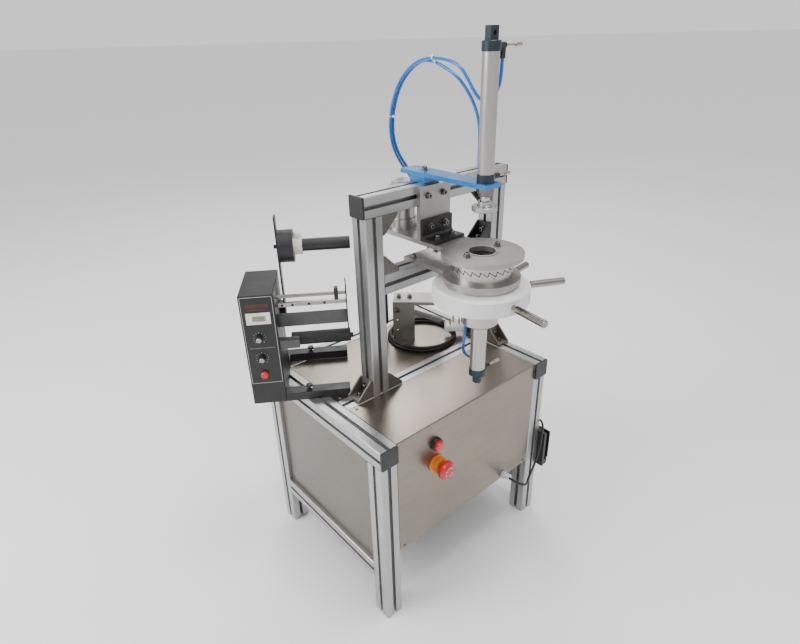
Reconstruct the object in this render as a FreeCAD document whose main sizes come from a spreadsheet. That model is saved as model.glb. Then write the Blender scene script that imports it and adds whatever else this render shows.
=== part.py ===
import FreeCAD, Part
import math
import os
import re
import Sketcher

# Bench machine that wraps round soap in pleated film, with a label dispenser beside it.
# Millimetres, +Z up. The origin is on the floor, at the centre of the four foot holes in the legs.
# +X runs to the machine's right and -Y to its front. The head axis is the vertical line through the
# press cylinder, the product hole, the hand ring and the ejector cylinder.

doc = FreeCAD.newDocument("SoapPleatWrapper")
Vector = FreeCAD.Vector
Rotation = FreeCAD.Rotation
Placement = FreeCAD.Placement

# ---------------------------------------------------------------- driving dimensions
SIZES = {
    # table frame of square slotted profile
    "tableWidth": 488, "tableDepth": 410, "tableHeight": 443, "beam": 40,
    "slotMouth": 8.2, "slotLip": 4.5, "slotRoom": 16, "slotDepth": 12, "cornerCut": 1.5, "coreRadius": 3.4,
    "railFloorGap": 95, "capThick": 4, "capRound": 3, "sheetThick": 1.5, "sheetGap": 0.5,
    "panelBottom": 172, "panelInset": 8, "crossBeamY": -39, "frontSkinInset": 1, "topSkinDrop": 0.5,
    # gantry
    "gantryLeft": -139, "gantryTop": 855, "midBeamTop": 699,
    # cast corner brackets and bolts
    "gussetSize": 38, "gussetWidth": 36, "gussetPlate": 5, "gussetWall": 4, "gussetBoltAt": 21,
    "angleSize": 40, "angleThick": 6, "angleBoltOut": 26, "boltShank": 3, "boltHead": 5, "boltHeadHigh": 6, "boltHoleGap": 0.3,
    "washerRadius": 7, "washerThick": 1.5, "boltGrip": 9, "hexRadius": 2.9,
    "screwHead": 3.4, "screwHeadHigh": 1.8, "screwShank": 1.6, "screwReach": 3,
    # wrapping head
    "headX": 24, "headY": -191, "tailWidth": 80, "tailEnd": 62, "headPlate": 8,
    "upperPlateTop": 751, "upperDisc": 76, "lowerDisc": 72, "productHole": 24.6, "holeRim": 4.5,
    "hangerThick": 10, "toothRing": 57, "toothWall": 4, "toothCount": 24, "toothHigh": 8,
    "toothSlant": 2.5, "toothGap": 2.2, "toothShift": 1, "toothRise": 1.5, "leafThick": 2, "leafGap": 0.3, "leafPivot": 42,
    "leafLength": 24, "leafRadius": 4, "leafRest": 43.2, "leafCount": 6, "pinRadius": 2, "runFit": 0.05,
    # hand ring and hub
    "ringOuter": 91.5, "ringHigh": 34, "ringDrop": 9, "sleeveRadius": 36.45, "hubFlange": 68,
    "hubBody": 35.5, "hubNeck": 32, "hubNeckHigh": 16, "hubBodyHigh": 33, "hubFloorHigh": 37, "clipOuter": 40,
    "hubBore": 24.2, "runGap": 0.3, "handlePitch": 36, "handleFirst": -100, "handleHole": 5,
    "handleShank": 4.9, "handleGrip": 7, "handleSeat": 12, "handleNeck": 8, "handleReach": 170,
    # ejector cylinder
    "ejectorTube": 15.5, "cylinderBore": 12.5, "ejectorTubeLong": 102.5, "ejectorCap": 17,
    "ejectorCapHigh": 16.5, "ejectorBoss": 9, "ejectorBossHigh": 17, "pistonHigh": 12,
    "ejectorPad": 22, "padThick": 8, "rodRadius": 5,
    # press cylinder on its arm
    "armWidth": 40, "armThick": 8, "spacerHigh": 12, "armFront": -210, "armBack": 8,
    "pressTube": 14, "pressTubeLong": 188.5, "pressCap": 15.5, "pressCapHigh": 14.5, "noseRadius": 11,
    "noseHang": 15, "rearCapHigh": 15.5, "tangWidth": 19, "tangThick": 12, "tangHigh": 20.5,
    "tangHole": 4, "pressPad": 22.5, "pressFlange": 9, "pressNeck": 12, "pressNeckHigh": 8,
    "pressPadBottom": 826, "rodNut": 8.5, "rodNutHigh": 6, "noseNut": 15.5, "noseNutHigh": 8,
    # air fittings and tubes
    "fittingRadius": 5, "fittingOut": 14, "fittingPort": 19, "needleRadius": 2.2, "needleLong": 16,
    "needleKnob": 3.6, "needleKnobLong": 14, "airTube": 3,
    # post at the rear of the head plate
    "postX": 24, "postY": 29, "postBase": 30, "postBaseHigh": 21, "postRadius": 27, "postHigh": 95,
    # electrical pieces
    "lampX": -105, "lampZ": 391, "lampRadius": 13, "stopX": -103, "stopZ": 341, "stopCollar": 17,
    "stopCollarLong": 16, "stopHead": 20, "stopHeadLong": 16, "stopStem": 9, "stopTravel": 5,
    "glandX": 117, "glandZ": 179, "glandRadius": 9, "glandLong": 13, "cordRadius": 2.6,
    "pedalLow": 140, "pedalHigh": 98, "pedalDeep": 70, "pedalFront": -224, "pedalBase": 8,
    "pedalThick": 22, "pedalPin": 2, "pedalEar": 3,
    "coilX": 115, "coilY": 70, "coilOuter": 88, "coilInner": 72, "coilHigh": 14,
    "coilExit": 60, "mainsRadius": 3.25, "plugX": 176, "plugY": 20, "plugWidth": 44, "plugHigh": 18,
    # bracket and flow valve behind the gantry
    "standX": 54, "standY": 106, "standTurn": -45, "standPlate": 8, "standWide": 52, "standTop": 541,
    "standLong": 118, "standDeep": 58,
    "valveX": 61, "valveY": 145, "valveRadius": 8.5, "valveLow": 470, "valveHigh": 78,
    # label dispenser, in its own turned frame: along, back and up from its front left foot
    "labelX": -332.5, "labelY": 89, "labelTurn": -34, "caseWide": 66, "caseDeep": 130, "caseHigh": 238,
    "caseRound": 2, "footLong": 130, "footSize": 25, "footHigh": 18, "footSheet": 3, "rearFootAt": 160,
    "armOffset": 8, "armSheet": 3, "armAt": 96, "armSheetWide": 24, "armLow": 150, "armHigh": 359,
    "rollAt": 298, "rollHub": 32, "rollHubLong": 29.5, "rollCollar": 18, "rollCollarLong": 17,
    "rollShaft": 12.5, "rollShaftLong": 93, "rollStub": 4, "guideAt": 40, "guideLong": 134,
    "guideRod": 3.5, "guideRodAt": 215, "guideBar": 8, "guideBarAt": 194, "guidePlateLow": 150,
    "guidePlateHigh": 29, "endPlateLow": 142, "endPlateHigh": 96, "endPlateDeep": 36,
    "rollerAt": 121.5, "rollerRadius": 13.5, "rollerFrom": 21, "rollerLong": 118, "rollerAxle": 4,
    "sensorLong": 38, "sensorHigh": 18, "sensorLow": 118, "knobRadius": 6.5, "knobLong": 12,
    "knobAt": 30, "speedKnobUp": 149, "delayKnobUp": 105, "buttonUp": 68, "buttonRadius": 7.5,
    "buttonLong": 7, "buttonTravel": 2,
}
sheet = doc.addObject("Spreadsheet::Sheet", "Sizes")
for row, (name, value) in enumerate(SIZES.items(), start=1):
    sheet.set(f"A{row}", name)
    sheet.set(f"B{row}", str(value))
    sheet.setAlias(f"B{row}", name)
doc.recompute()

# ---------------------------------------------------------------- levels and places worked out once
REAR_TOP = "(tableHeight - 2*topSkinDrop)"
INNER_LEFT = "beam - tableWidth/2 + sheetGap"
INNER_RIGHT = "tableWidth/2 - beam - sheetGap"
HANGER_FRONT = "(crossBeamY - beam/2 - hangerThick)"
ANGLE_BOLTS = ("headX - tailWidth/4", "headX + tailWidth/4")
ANGLE_BOLT_OUT = "angleBoltOut"
ARM_TOP = "(gantryTop + spacerHigh + armThick)"
NUT_LOW = "(gantryTop + spacerHigh - noseNutHigh)"
TUBE_LOW = f"({ARM_TOP} + pressCapHigh)"
TUBE_HIGH = f"({TUBE_LOW} + pressTubeLong)"
HUB_HIGH = "(hubBodyHigh + hubNeckHigh + ringHigh + ringDrop)"
HUB_BOTTOM = f"(midBeamTop - {HUB_HIGH})"
RING_LOW = "(midBeamTop - ringDrop - ringHigh)"
CAP_TOP = f"({HUB_BOTTOM} - ejectorTubeLong)"
# heights above the lower head plate
RING_ROOM = "(upperPlateTop - 2*headPlate - midBeamTop)"
TOOTH_FOOT = f"({RING_ROOM}/2 - toothHigh/2 - toothGap/2 + toothRise)"
LEAF_FLOOR = f"({RING_ROOM}/2 - leafThick/2)"
TOOTH_PITCH = "(2*toothRing*sin(180deg/toothCount))"
# the mains cord leaves its coil through the rear plate
CORD_EXIT = ("coilX + (coilOuter + coilInner)/2*cos(coilExit*1deg)",
             "coilY + (coilOuter + coilInner)/2*sin(coilExit*1deg)")
PEDAL_PIN_OUT = "pedalThick - 7"
PEDAL_PIN_UP = "(pedalLow + 9)"
# the ring's holes for handles, counted from the first, and which of them carry one
RING_HOLES = (0, 1, 2, 3)
HANDLES_AT = (0, 2, 3)
# where the lower air tube goes through the rear plate
PLATE_FITTING = ("headX + 21", "standY + 29")

ALONG_X = Rotation(Vector(0, 1, 0), 90)
ALONG_MINUS_X = Rotation(Vector(0, 1, 0), -90)
ALONG_Y = Rotation(Vector(1, 0, 0), -90)
ALONG_MINUS_Y = Rotation(Vector(1, 0, 0), 90)
DOWN = Rotation(Vector(1, 0, 0), 180)
UPRIGHT = Rotation()


# ---------------------------------------------------------------- helpers
def formula(text):
    """Point every size named in the text at its cell of the sheet."""
    return re.sub(r"\b([a-z]\w*)\b(?!\()", r"Sizes.\1", str(text))


def size(text):
    """The number that a formula gives now."""
    return float(sheet.evalExpression(formula(text)))


def spot(x, y, z):
    return Vector(size(x), size(y), size(z))


def place(part, x, y, z, turn=UPRIGHT):
    part.Placement = Placement(Vector(), turn)
    for axis, text in zip("xyz", (x, y, z)):
        part.setExpression(f"Placement.Base.{axis}", formula(text))
    return part


def bind(part, **texts):
    for prop, text in texts.items():
        part.setExpression(prop, formula(text))
    return part


def slab(name, xs, ys, zs):
    """A block between two formulas along each axis."""
    part = doc.addObject("Part::Box", name)
    for prop, (low, high) in zip(("Length", "Width", "Height"), (xs, ys, zs)):
        part.setExpression(prop, formula(f"({high}) - ({low})"))
    return place(part, xs[0], ys[0], zs[0])


def rod(name, radius, length, x, y, z, turn=UPRIGHT):
    part = doc.addObject("Part::Cylinder", name)
    bind(part, Radius=radius, Height=length)
    return place(part, x, y, z, turn)


def hexBar(name, radius, length, x, y, z, turn=UPRIGHT):
    part = doc.addObject("Part::Prism", name)
    part.Polygon = 6
    bind(part, Circumradius=radius, Height=length)
    return place(part, x, y, z, turn)


def fuse(name, parts):
    part = doc.addObject("Part::MultiFuse", name)
    part.Shapes = parts
    part.Refine = True
    return part


def cut(name, base, tools):
    part = doc.addObject("Part::Cut", name)
    part.Base = base
    part.Tool = tools[0] if len(tools) == 1 else fuse(name + "_tools", tools)
    return part


def roundEdges(name, base, radius, wanted):
    """Fillet the edges of the base whose direction and place pass the test."""
    doc.recompute()
    part = doc.addObject("Part::Fillet", name)
    part.Base = base
    edges = [i for i, edge in enumerate(base.Shape.Edges, start=1) if wanted(edge)]
    part.Edges = [(i, size(radius), size(radius)) for i in edges]
    return part


def isAlong(edge, direction):
    if not isinstance(edge.Curve, Part.Line):
        return False
    return abs(edge.Curve.Direction.dot(direction)) > 0.999


def node(name, parts):
    """A sub-part that is written to its own file."""
    group = doc.addObject("Part::Compound", name)
    group.Links = parts
    nodes.append(group)
    return group


def copies(name, master, placements):
    """A group of identical pieces, one copy of the master at each placement."""
    doc.recompute()
    shapes = []
    for placement in placements:
        shape = master.Shape.copy()
        shape.Placement = placement.multiply(master.Shape.Placement)
        shapes.append(shape)
    group = doc.addObject("Part::Feature", name)
    group.Shape = Part.makeCompound(shapes)
    return group


def originPlane(body, role):
    return next(item for item in body.Origin.OriginFeatures if item.Role == role)


def outline(body, name, role, points):
    """A closed sketch whose corners are formulas for the distances along the plane's two axes."""
    sketch = body.newObject("Sketcher::SketchObject", name)
    sketch.AttachmentSupport = [(originPlane(body, role), "")]
    sketch.MapMode = "FlatFace"
    corners = [Vector(size(a), size(b), 0) for a, b in points]
    for start, end in zip(corners, corners[1:] + corners[:1]):
        sketch.addGeometry(Part.LineSegment(start, end), False)
    count = len(points)
    for i in range(count):
        sketch.addConstraint(Sketcher.Constraint("Coincident", i, 2, (i + 1) % count, 1))
    for i, (a, b) in enumerate(points):
        for kind, text in (("DistanceX", a), ("DistanceY", b)):
            index = sketch.addConstraint(Sketcher.Constraint(kind, -1, 1, i, 1, size(text)))
            sketch.setExpression(f"Constraints[{index}]", formula(text))
    return sketch


def circles(body, name, role, rounds):
    """A sketch of full circles: a centre and a radius for each, as formulas."""
    sketch = body.newObject("Sketcher::SketchObject", name)
    sketch.AttachmentSupport = [(originPlane(body, role), "")]
    sketch.MapMode = "FlatFace"
    for i, (a, b, radius) in enumerate(rounds):
        sketch.addGeometry(Part.Circle(Vector(size(a), size(b), 0), Vector(0, 0, 1), size(radius)), False)
        for kind, text in (("DistanceX", a), ("DistanceY", b)):
            index = sketch.addConstraint(Sketcher.Constraint(kind, -1, 1, i, 3, size(text)))
            sketch.setExpression(f"Constraints[{index}]", formula(text))
        index = sketch.addConstraint(Sketcher.Constraint("Radius", i, size(radius)))
        sketch.setExpression(f"Constraints[{index}]", formula(radius))
    return sketch


def padded(name, role, points, length, midplane=False):
    """A body that is one outline pushed to a length."""
    body = doc.addObject("PartDesign::Body", name)
    pad = body.newObject("PartDesign::Pad", name + "_pad")
    pad.Profile = outline(body, name + "_outline", role, points)
    pad.setExpression("Length", formula(length))
    pad.Midplane = midplane
    body.Tip = pad
    return body


def turned(name, points, x, y, z, turn=UPRIGHT):
    """A body turned about its own Z axis from radius and height formulas."""
    body = doc.addObject("PartDesign::Body", name)
    spin = body.newObject("PartDesign::Revolution", name + "_turn")
    spin.Profile = outline(body, name + "_profile", "XZ_Plane", points)
    spin.ReferenceAxis = (originPlane(body, "Z_Axis"), [""])
    spin.Angle = 360
    body.Tip = spin
    return place(body, x, y, z, turn)


nodes = []


# ---------------------------------------------------------------- slotted profile
def slotSection():
    """Corners of the square section with a T slot in each side, anticlockwise from the low corner."""
    side = [
        ("cornerCut", "0"),
        ("beam/2 - slotMouth/2", "0"),
        ("beam/2 - slotMouth/2", "slotLip"),
        ("beam/2 - slotRoom/2", "slotLip"),
        ("beam/2 - slotMouth/2", "slotDepth"),
        ("beam/2 + slotMouth/2", "slotDepth"),
        ("beam/2 + slotRoom/2", "slotLip"),
        ("beam/2 + slotMouth/2", "slotLip"),
        ("beam/2 + slotMouth/2", "0"),
        ("beam - cornerCut", "0"),
    ]
    points = []
    for turn in range(4):
        for a, b in side:
            corner = [(a, b), (f"beam - ({b})", a), (f"beam - ({a})", f"beam - ({b})"), (b, f"beam - ({a})")]
            points.append(corner[turn])
    return points


def profileBar(name, length, x, y, z, turn=UPRIGHT):
    """A length of profile with its core hole, growing along its own Z from a low corner."""
    body = padded(name, "XY_Plane", slotSection(), length)
    core = body.newObject("PartDesign::Pocket", name + "_core")
    core.Profile = circles(body, name + "_hole", "XY_Plane", [("beam/2", "beam/2", "coreRadius")])
    core.Type = "ThroughAll"
    core.Midplane = True
    body.Tip = core
    return place(body, x, y, z, turn)


# A bar laid along X or Y has its section turned so that the low corner stays the low corner.
LAY_X = Rotation(Vector(1, 1, 1), 120)
LAY_Y = Rotation(Vector(1, 1, 1), 240)


def makeTable():
    left, right = "-tableWidth/2", "tableWidth/2 - beam"
    front, back = "-tableDepth/2", "tableDepth/2 - beam"
    legHigh = "tableHeight - beam"
    legs = [profileBar(f"leg_{i}", legHigh, x, y, "0")
            for i, (x, y) in enumerate([(left, front), (right, front), (left, back), (right, back)])]
    node("legs", legs)
    sides = [profileBar(f"side_beam_{i}", "tableDepth", x, front, legHigh, LAY_Y)
             for i, x in enumerate((left, right))]
    span = "tableWidth - 2*beam"
    crosses = [profileBar(f"cross_beam_{i}", span, "beam - tableWidth/2", y, legHigh, LAY_X)
               for i, y in enumerate(("crossBeamY - beam/2", back))]
    node("table_beams", sides + crosses)
    railLong = "tableDepth - 2*beam"
    rails = [profileBar(f"side_rail_{i}", railLong, x, "beam - tableDepth/2", "railFloorGap", LAY_Y)
             for i, x in enumerate((left, right))]
    rails.append(profileBar("rear_rail", span, "beam - tableWidth/2", back, "railFloorGap", LAY_X))
    node("lower_rails", rails)


def makeGantry():
    foot = "crossBeamY - beam/2"
    high = "gantryTop - beam - tableHeight"
    node("uprights", [
        profileBar("left_upright", high, "gantryLeft", foot, "tableHeight"),
        profileBar("right_upright", high, "tableWidth/2 - beam", foot, "tableHeight"),
    ])
    topBar = profileBar("top_bar", "tableWidth/2 - gantryLeft", "gantryLeft", foot, "gantryTop - beam", LAY_X)
    midBar = profileBar("mid_bar", "tableWidth/2 - gantryLeft - 2*beam", "gantryLeft + beam", foot,
                        "midBeamTop - beam", LAY_X)
    node("gantry_beams", [topBar, midBar])


def makeEndCaps():
    """Moulded caps on the open ends of the side beams and of the top beam."""
    def cap(name, xs, ys, zs, direction):
        block = slab(name + "_block", xs, ys, zs)
        return roundEdges(name, block, "capRound", lambda edge: isAlong(edge, direction))
    caps = []
    low, high = "tableHeight - beam", "tableHeight"
    for i, x in enumerate(("-tableWidth/2", "tableWidth/2 - beam")):
        for j, y in enumerate(("-tableDepth/2 - capThick", "tableDepth/2")):
            caps.append(cap(f"side_cap_{i}{j}", (x, f"{x} + beam"), (y, f"{y} + capThick"), (low, high),
                            Vector(0, 1, 0)))
    ys = ("crossBeamY - beam/2", "crossBeamY + beam/2")
    for i, x in enumerate(("gantryLeft - capThick", "tableWidth/2")):
        caps.append(cap(f"top_cap_{i}", (x, f"{x} + capThick"), ys, ("gantryTop - beam", "gantryTop"),
                        Vector(1, 0, 0)))
    node("end_caps", caps)


# ---------------------------------------------------------------- sheet metal
def makeSkins():
    """The bent front skin, the inset side and rear panels and the rear top plate."""
    front = "-tableDepth/2 + frontSkinInset"
    top = "tableHeight - topSkinDrop"
    face = slab("front_face", (INNER_LEFT, INNER_RIGHT), (front, f"{front} + sheetThick"), ("panelBottom", top))
    lid = slab("front_lid", (INNER_LEFT, INNER_RIGHT), (front, "crossBeamY - beam/2 - sheetGap"),
               (f"{top} - sheetThick", top))
    bent = fuse("front_bent", [face, lid])
    corner = spot("0", front, top)
    edgeOfBend = roundEdges("front_skin", bent, "sheetThick + 1", lambda edge: isAlong(edge, Vector(1, 0, 0))
                            and abs(edge.CenterOfMass.y - corner.y) < 0.01
                            and abs(edge.CenterOfMass.z - corner.z) < 0.01)
    holes = [rod(f"front_hole_{i}", radius, "4*sheetThick", x, f"{front} - sheetThick", z, ALONG_Y)
             for i, (radius, x, z) in enumerate([("stopStem + sheetGap", "stopX", "stopZ"),
                                                 ("stopStem + sheetGap", "lampX", "lampZ"),
                                                 ("glandRadius/2 + sheetGap", "glandX", "glandZ")])]
    holes.append(pierce("front_panel", screwPlaces(), "screwShank + sheetGap", "2*sheetThick"))
    node("front_panel", [cut("front_panel_cut", edgeOfBend, holes)])
    low, high = "railFloorGap + beam + sheetGap", "tableHeight - beam - sheetGap"
    ys = ("beam - tableDepth/2 + sheetGap", "tableDepth/2 - beam - sheetGap")
    leftAt = "panelInset - tableWidth/2"
    rightAt = "tableWidth/2 - panelInset - sheetThick"
    rearAt = "tableDepth/2 - panelInset - sheetThick"
    drills = pierce("panels", screwPlaces(), "screwShank + sheetGap", "2*sheetThick")
    blanks = [
        slab("left_panel", (leftAt, f"{leftAt} + sheetThick"), ys, (low, high)),
        slab("right_panel", (rightAt, f"{rightAt} + sheetThick"), ys, (low, high)),
        slab("rear_panel", (INNER_LEFT, INNER_RIGHT), (rearAt, f"{rearAt} + sheetThick"), (low, high)),
    ]
    node("inset_panels", [cut(f"{blank.Name}_cut", blank, [drills]) for blank in blanks])
    plate = slab("rear_plate", (INNER_LEFT, INNER_RIGHT),
                 ("crossBeamY + beam/2 + sheetGap", "tableDepth/2 - beam - sheetGap"),
                 (f"{REAR_TOP} - sheetThick", REAR_TOP))
    hole = rod("cord_hole", "2*mainsRadius", "4*sheetThick", CORD_EXIT[0], CORD_EXIT[1],
               f"{REAR_TOP} - 2*sheetThick")
    plug = rod("tube_hole", "fittingRadius*0.6 + sheetGap", "4*sheetThick", *PLATE_FITTING, f"{REAR_TOP} - 2*sheetThick")
    drills = pierce("rear_plate", screwPlaces(), "screwShank + sheetGap", "2*sheetThick")
    node("rear_top_plate", [cut("rear_plate_cut", plate, [hole, plug, drills])])


# ---------------------------------------------------------------- brackets and fasteners
def makeGusset():
    """Cast corner bracket: its corner at the origin, one plate along +X and one along +Z."""
    tip = "gussetPlate"
    body = padded("gusset", "XZ_Plane", [("0", "0"), ("gussetSize", "0"), ("gussetSize", tip),
                                         (tip, "gussetSize"), ("0", "gussetSize")], "gussetWidth", True)
    room = body.newObject("PartDesign::Pocket", "gusset_room")
    room.Profile = outline(body, "gusset_room_outline", "XZ_Plane",
                           [("gussetPlate", "gussetPlate"), ("2*gussetSize", "gussetPlate"),
                            ("gussetPlate", "2*gussetSize")])
    room.setExpression("Length", formula("gussetWidth - 2*gussetWall"))
    room.Midplane = True
    for name, role in (("foot", "XY_Plane"), ("back", "YZ_Plane")):
        a, b = ("gussetBoltAt", "0") if role == "XY_Plane" else ("0", "gussetBoltAt")
        hole = body.newObject("PartDesign::Pocket", f"gusset_{name}_hole")
        hole.Profile = circles(body, f"gusset_{name}_circle", role, [(a, b, "boltShank + boltHoleGap")])
        hole.setExpression("Length", formula("3*gussetPlate"))
        hole.Midplane = True
        body.Tip = hole
    return body


def gussetPlaces():
    left, right = "gantryLeft", "tableWidth/2 - beam"
    mid = "crossBeamY"
    halfTurn = Rotation(Vector(0, 0, 1), 180)
    silver = [
        (f"{left} + beam", mid, "gantryTop - beam", DOWN),
        (f"{left} + beam", mid, "midBeamTop", UPRIGHT),
        (right, mid, "gantryTop - beam", Rotation(Vector(0, 1, 0), 180)),
        (left, mid, "tableHeight", halfTurn),
        (f"{left} + beam", mid, "tableHeight", UPRIGHT),
        ("tableWidth/2 - beam/2", "crossBeamY - beam/2", "tableHeight", Rotation(Vector(0, 0, 1), -90)),
        ("tableWidth/2 - beam/2", "crossBeamY + beam/2", "tableHeight", Rotation(Vector(0, 0, 1), 90)),
    ]
    black = [(right, mid, "midBeamTop", halfTurn)]
    return ([Placement(spot(x, y, z), turn) for x, y, z, turn in silver],
            [Placement(spot(x, y, z), turn) for x, y, z, turn in black])


def makeBrackets(gusset):
    """The cast gussets, and the black angle that ties the hanger plate to the head plate."""
    silver, black = gussetPlaces()
    node("corner_brackets", [copies("silver_gussets", gusset, silver)])
    thick, arm = "angleThick", "angleSize"
    angle = padded("angle_body", "YZ_Plane", [
        ("0", "0"), (arm, "0"), (arm, thick), (f"1.7*{thick}", thick), (thick, f"1.7*{thick}"),
        (thick, arm), ("0", arm)], "tailWidth")
    # the outline's first axis is +Y, and the foot points to the front
    place(angle, "headX + tailWidth/2", f"{HANGER_FRONT}", "upperPlateTop", Rotation(Vector(0, 0, 1), 180))
    holes = []
    for i, x in enumerate(ANGLE_BOLTS):
        holes.append(rod(f"angle_foot_hole_{i}", "boltShank + boltHoleGap", f"3*{thick}", x,
                         f"{HANGER_FRONT} - {ANGLE_BOLT_OUT}", f"upperPlateTop - {thick}"))
        holes.append(rod(f"angle_back_hole_{i}", "boltShank + boltHoleGap", f"3*{thick}", x,
                         f"{HANGER_FRONT} + {thick}", f"upperPlateTop + {ANGLE_BOLT_OUT}", ALONG_MINUS_Y))
    node("black_brackets", [cut("head_angle", angle, holes), copies("black_gusset", gusset, black)])


def makeBolt():
    """Socket head bolt with its washer; the origin is under the washer and the head points up."""
    head = "washerThick + boltHeadHigh"
    body = turned("cap_bolt", [
        ("0", "-boltGrip"), ("boltShank", "-boltGrip"), ("boltShank", "0"), ("washerRadius", "0"),
        ("washerRadius", "washerThick"), ("boltHead", "washerThick"), ("boltHead", f"{head} - 0.5"),
        ("boltHead - 0.5", head), ("0", head)], "0", "0", "0")
    socket = hexBar("bolt_socket", "hexRadius", "boltHeadHigh", "0", "0", "washerThick + boltHeadHigh*0.45")
    return cut("cap_bolt_cut", body, [socket])


def makeScrew():
    """Small pan head screw; the origin is under its head."""
    body = turned("pan_screw", [
        ("0", "-screwReach"), ("screwShank", "-screwReach"), ("screwShank", "0"), ("screwHead", "0"),
        ("screwHead", "screwHeadHigh*0.5"), ("screwHead*0.7", "screwHeadHigh"), ("0", "screwHeadHigh")],
        "0", "0", "0")
    slotAcross = slab("screw_slot", ("-screwHead*0.55", "screwHead*0.55"), ("-0.4", "0.4"),
                      ("screwHeadHigh*0.5", "2*screwHeadHigh"))
    slotAlong = slab("screw_slot_b", ("-0.4", "0.4"), ("-screwHead*0.55", "screwHead*0.55"),
                     ("screwHeadHigh*0.5", "2*screwHeadHigh"))
    return cut("pan_screw_cut", body, [slotAcross, slotAlong])


def boltPlaces():
    places = []
    silver, black = gussetPlaces()
    for bracket in silver + black:
        places.append(bracket.multiply(Placement(spot("gussetBoltAt", "0", "gussetPlate"), UPRIGHT)))
        places.append(bracket.multiply(Placement(spot("gussetPlate", "0", "gussetBoltAt"), ALONG_X)))
    for x in ANGLE_BOLTS:
        places.append(Placement(spot(x, f"{HANGER_FRONT} - {ANGLE_BOLT_OUT}", "upperPlateTop + angleThick"),
                                UPRIGHT))
        places.append(Placement(spot(x, f"{HANGER_FRONT} - angleThick", f"upperPlateTop + {ANGLE_BOLT_OUT}"),
                                ALONG_MINUS_Y))
        places.append(Placement(spot(x, HANGER_FRONT, "gantryTop - beam/2"), ALONG_MINUS_Y))
    for x in ("headX - tailWidth/2 + 9", "headX + tailWidth/2 - 9"):
        places.append(Placement(spot(x, "crossBeamY", "midBeamTop + headPlate"), UPRIGHT))
    places.append(Placement(spot("headX", "crossBeamY", ARM_TOP), UPRIGHT))
    stand = standPlacement()
    for along in ("standWide*0.25", "standWide*0.75"):
        places.append(stand.multiply(Placement(spot(along, "standDeep/2", "standTop"), UPRIGHT)))
    places.append(stand.multiply(Placement(spot("standWide*0.2", "0", "standTop - standPlate*2.6"),
                                           ALONG_MINUS_Y)))
    return places + rimBoltPlaces()


def rimBoltPlaces():
    """The two bolts beside the product hole, which hold the upper tooth ring."""
    return [Placement(spot(f"headX + {side}*(productHole + holeRim + 12)", "headY", "upperPlateTop"), UPRIGHT)
            for side in (-1, 1)]


def screwPlaces():
    margin = 13
    low = f"railFloorGap + beam + {margin}"
    high = f"tableHeight - beam - {margin}"
    front = f"beam - tableDepth/2 + {margin}"
    places = []
    for z in (low, high):
        for y in (front, f"-({front})"):
            places.append(Placement(spot("panelInset - tableWidth/2", y, z), ALONG_MINUS_X))
            places.append(Placement(spot("tableWidth/2 - panelInset", y, z), ALONG_X))
        for x in (f"beam - tableWidth/2 + {margin}", f"tableWidth/2 - beam - {margin}"):
            places.append(Placement(spot(x, "tableDepth/2 - panelInset", z), ALONG_Y))
    for x in (f"beam - tableWidth/2 + {margin}", f"tableWidth/2 - beam - {margin}"):
        places.append(Placement(spot(x, "-tableDepth/2 + frontSkinInset", "panelBottom + 6"), ALONG_MINUS_Y))
        places.append(Placement(spot(x, "crossBeamY - beam/2 - 8", "tableHeight - topSkinDrop"), UPRIGHT))
        for y in ("crossBeamY + beam/2 + 7", f"tableDepth/2 - beam - {margin}"):
            places.append(Placement(spot(x, y, REAR_TOP), UPRIGHT))
    return places


def pierce(name, placements, radius, reach):
    """Drills for the clearance holes of the fasteners at these placements."""
    drills = []
    for placement in placements:
        drill = Part.makeCylinder(size(radius), 2*size(reach), Vector(0, 0, -size(reach)))
        drill.Placement = placement.multiply(drill.Placement)
        drills.append(drill)
    tool = doc.addObject("Part::Feature", name + "_drills")
    tool.Shape = Part.makeCompound(drills)
    return tool


# ---------------------------------------------------------------- head plates
def keyhole(name, discRadius, tailEnd, low):
    disc = rod(name + "_disc", discRadius, "headPlate", "headX", "headY", low)
    tail = slab(name + "_tail", ("headX - tailWidth/2", "headX + tailWidth/2"), ("headY", tailEnd),
                (low, f"{low} + headPlate"))
    return fuse(name + "_keyhole", [disc, tail])


def productBore(name, low, high):
    return rod(name + "_bore", "productHole", f"{high} - ({low})", "headX", "headY", low)


def makeHeadPlates():
    low = "upperPlateTop - headPlate"
    rim = rod("hole_rim", "productHole + holeRim", "1", "headX", "headY", "upperPlateTop")
    upper = fuse("upper_plate_blank", [keyhole("upper", "upperDisc", "tailEnd", low), rim])
    drilled = pierce("upper", boltPlaces() + screwPlaces(), "boltShank + boltHoleGap", "boltGrip + 2")
    node("upper_head_plate", [cut("upper_plate_cut", upper,
                                  [productBore("upper", low, "upperPlateTop + 2"), drilled])])
    lower = keyhole("lower", "lowerDisc", "crossBeamY + beam/2", "midBeamTop")
    node("lower_head_plate", [cut("lower_plate_cut", lower, [
        productBore("lower", "midBeamTop", "midBeamTop + headPlate"),
        pierce("lower", boltPlaces(), "boltShank + boltHoleGap", "boltGrip + 2")])])
    hanger = slab("hanger_blank", ("headX - tailWidth/2", "headX + tailWidth/2"),
                  (HANGER_FRONT, f"{HANGER_FRONT} + hangerThick"), ("upperPlateTop", "gantryTop - 2"))
    node("hanger_plate", [cut("hanger_cut", hanger,
                              [pierce("hanger", boltPlaces(), "boltShank + boltHoleGap", "boltGrip + 2")])])


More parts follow.
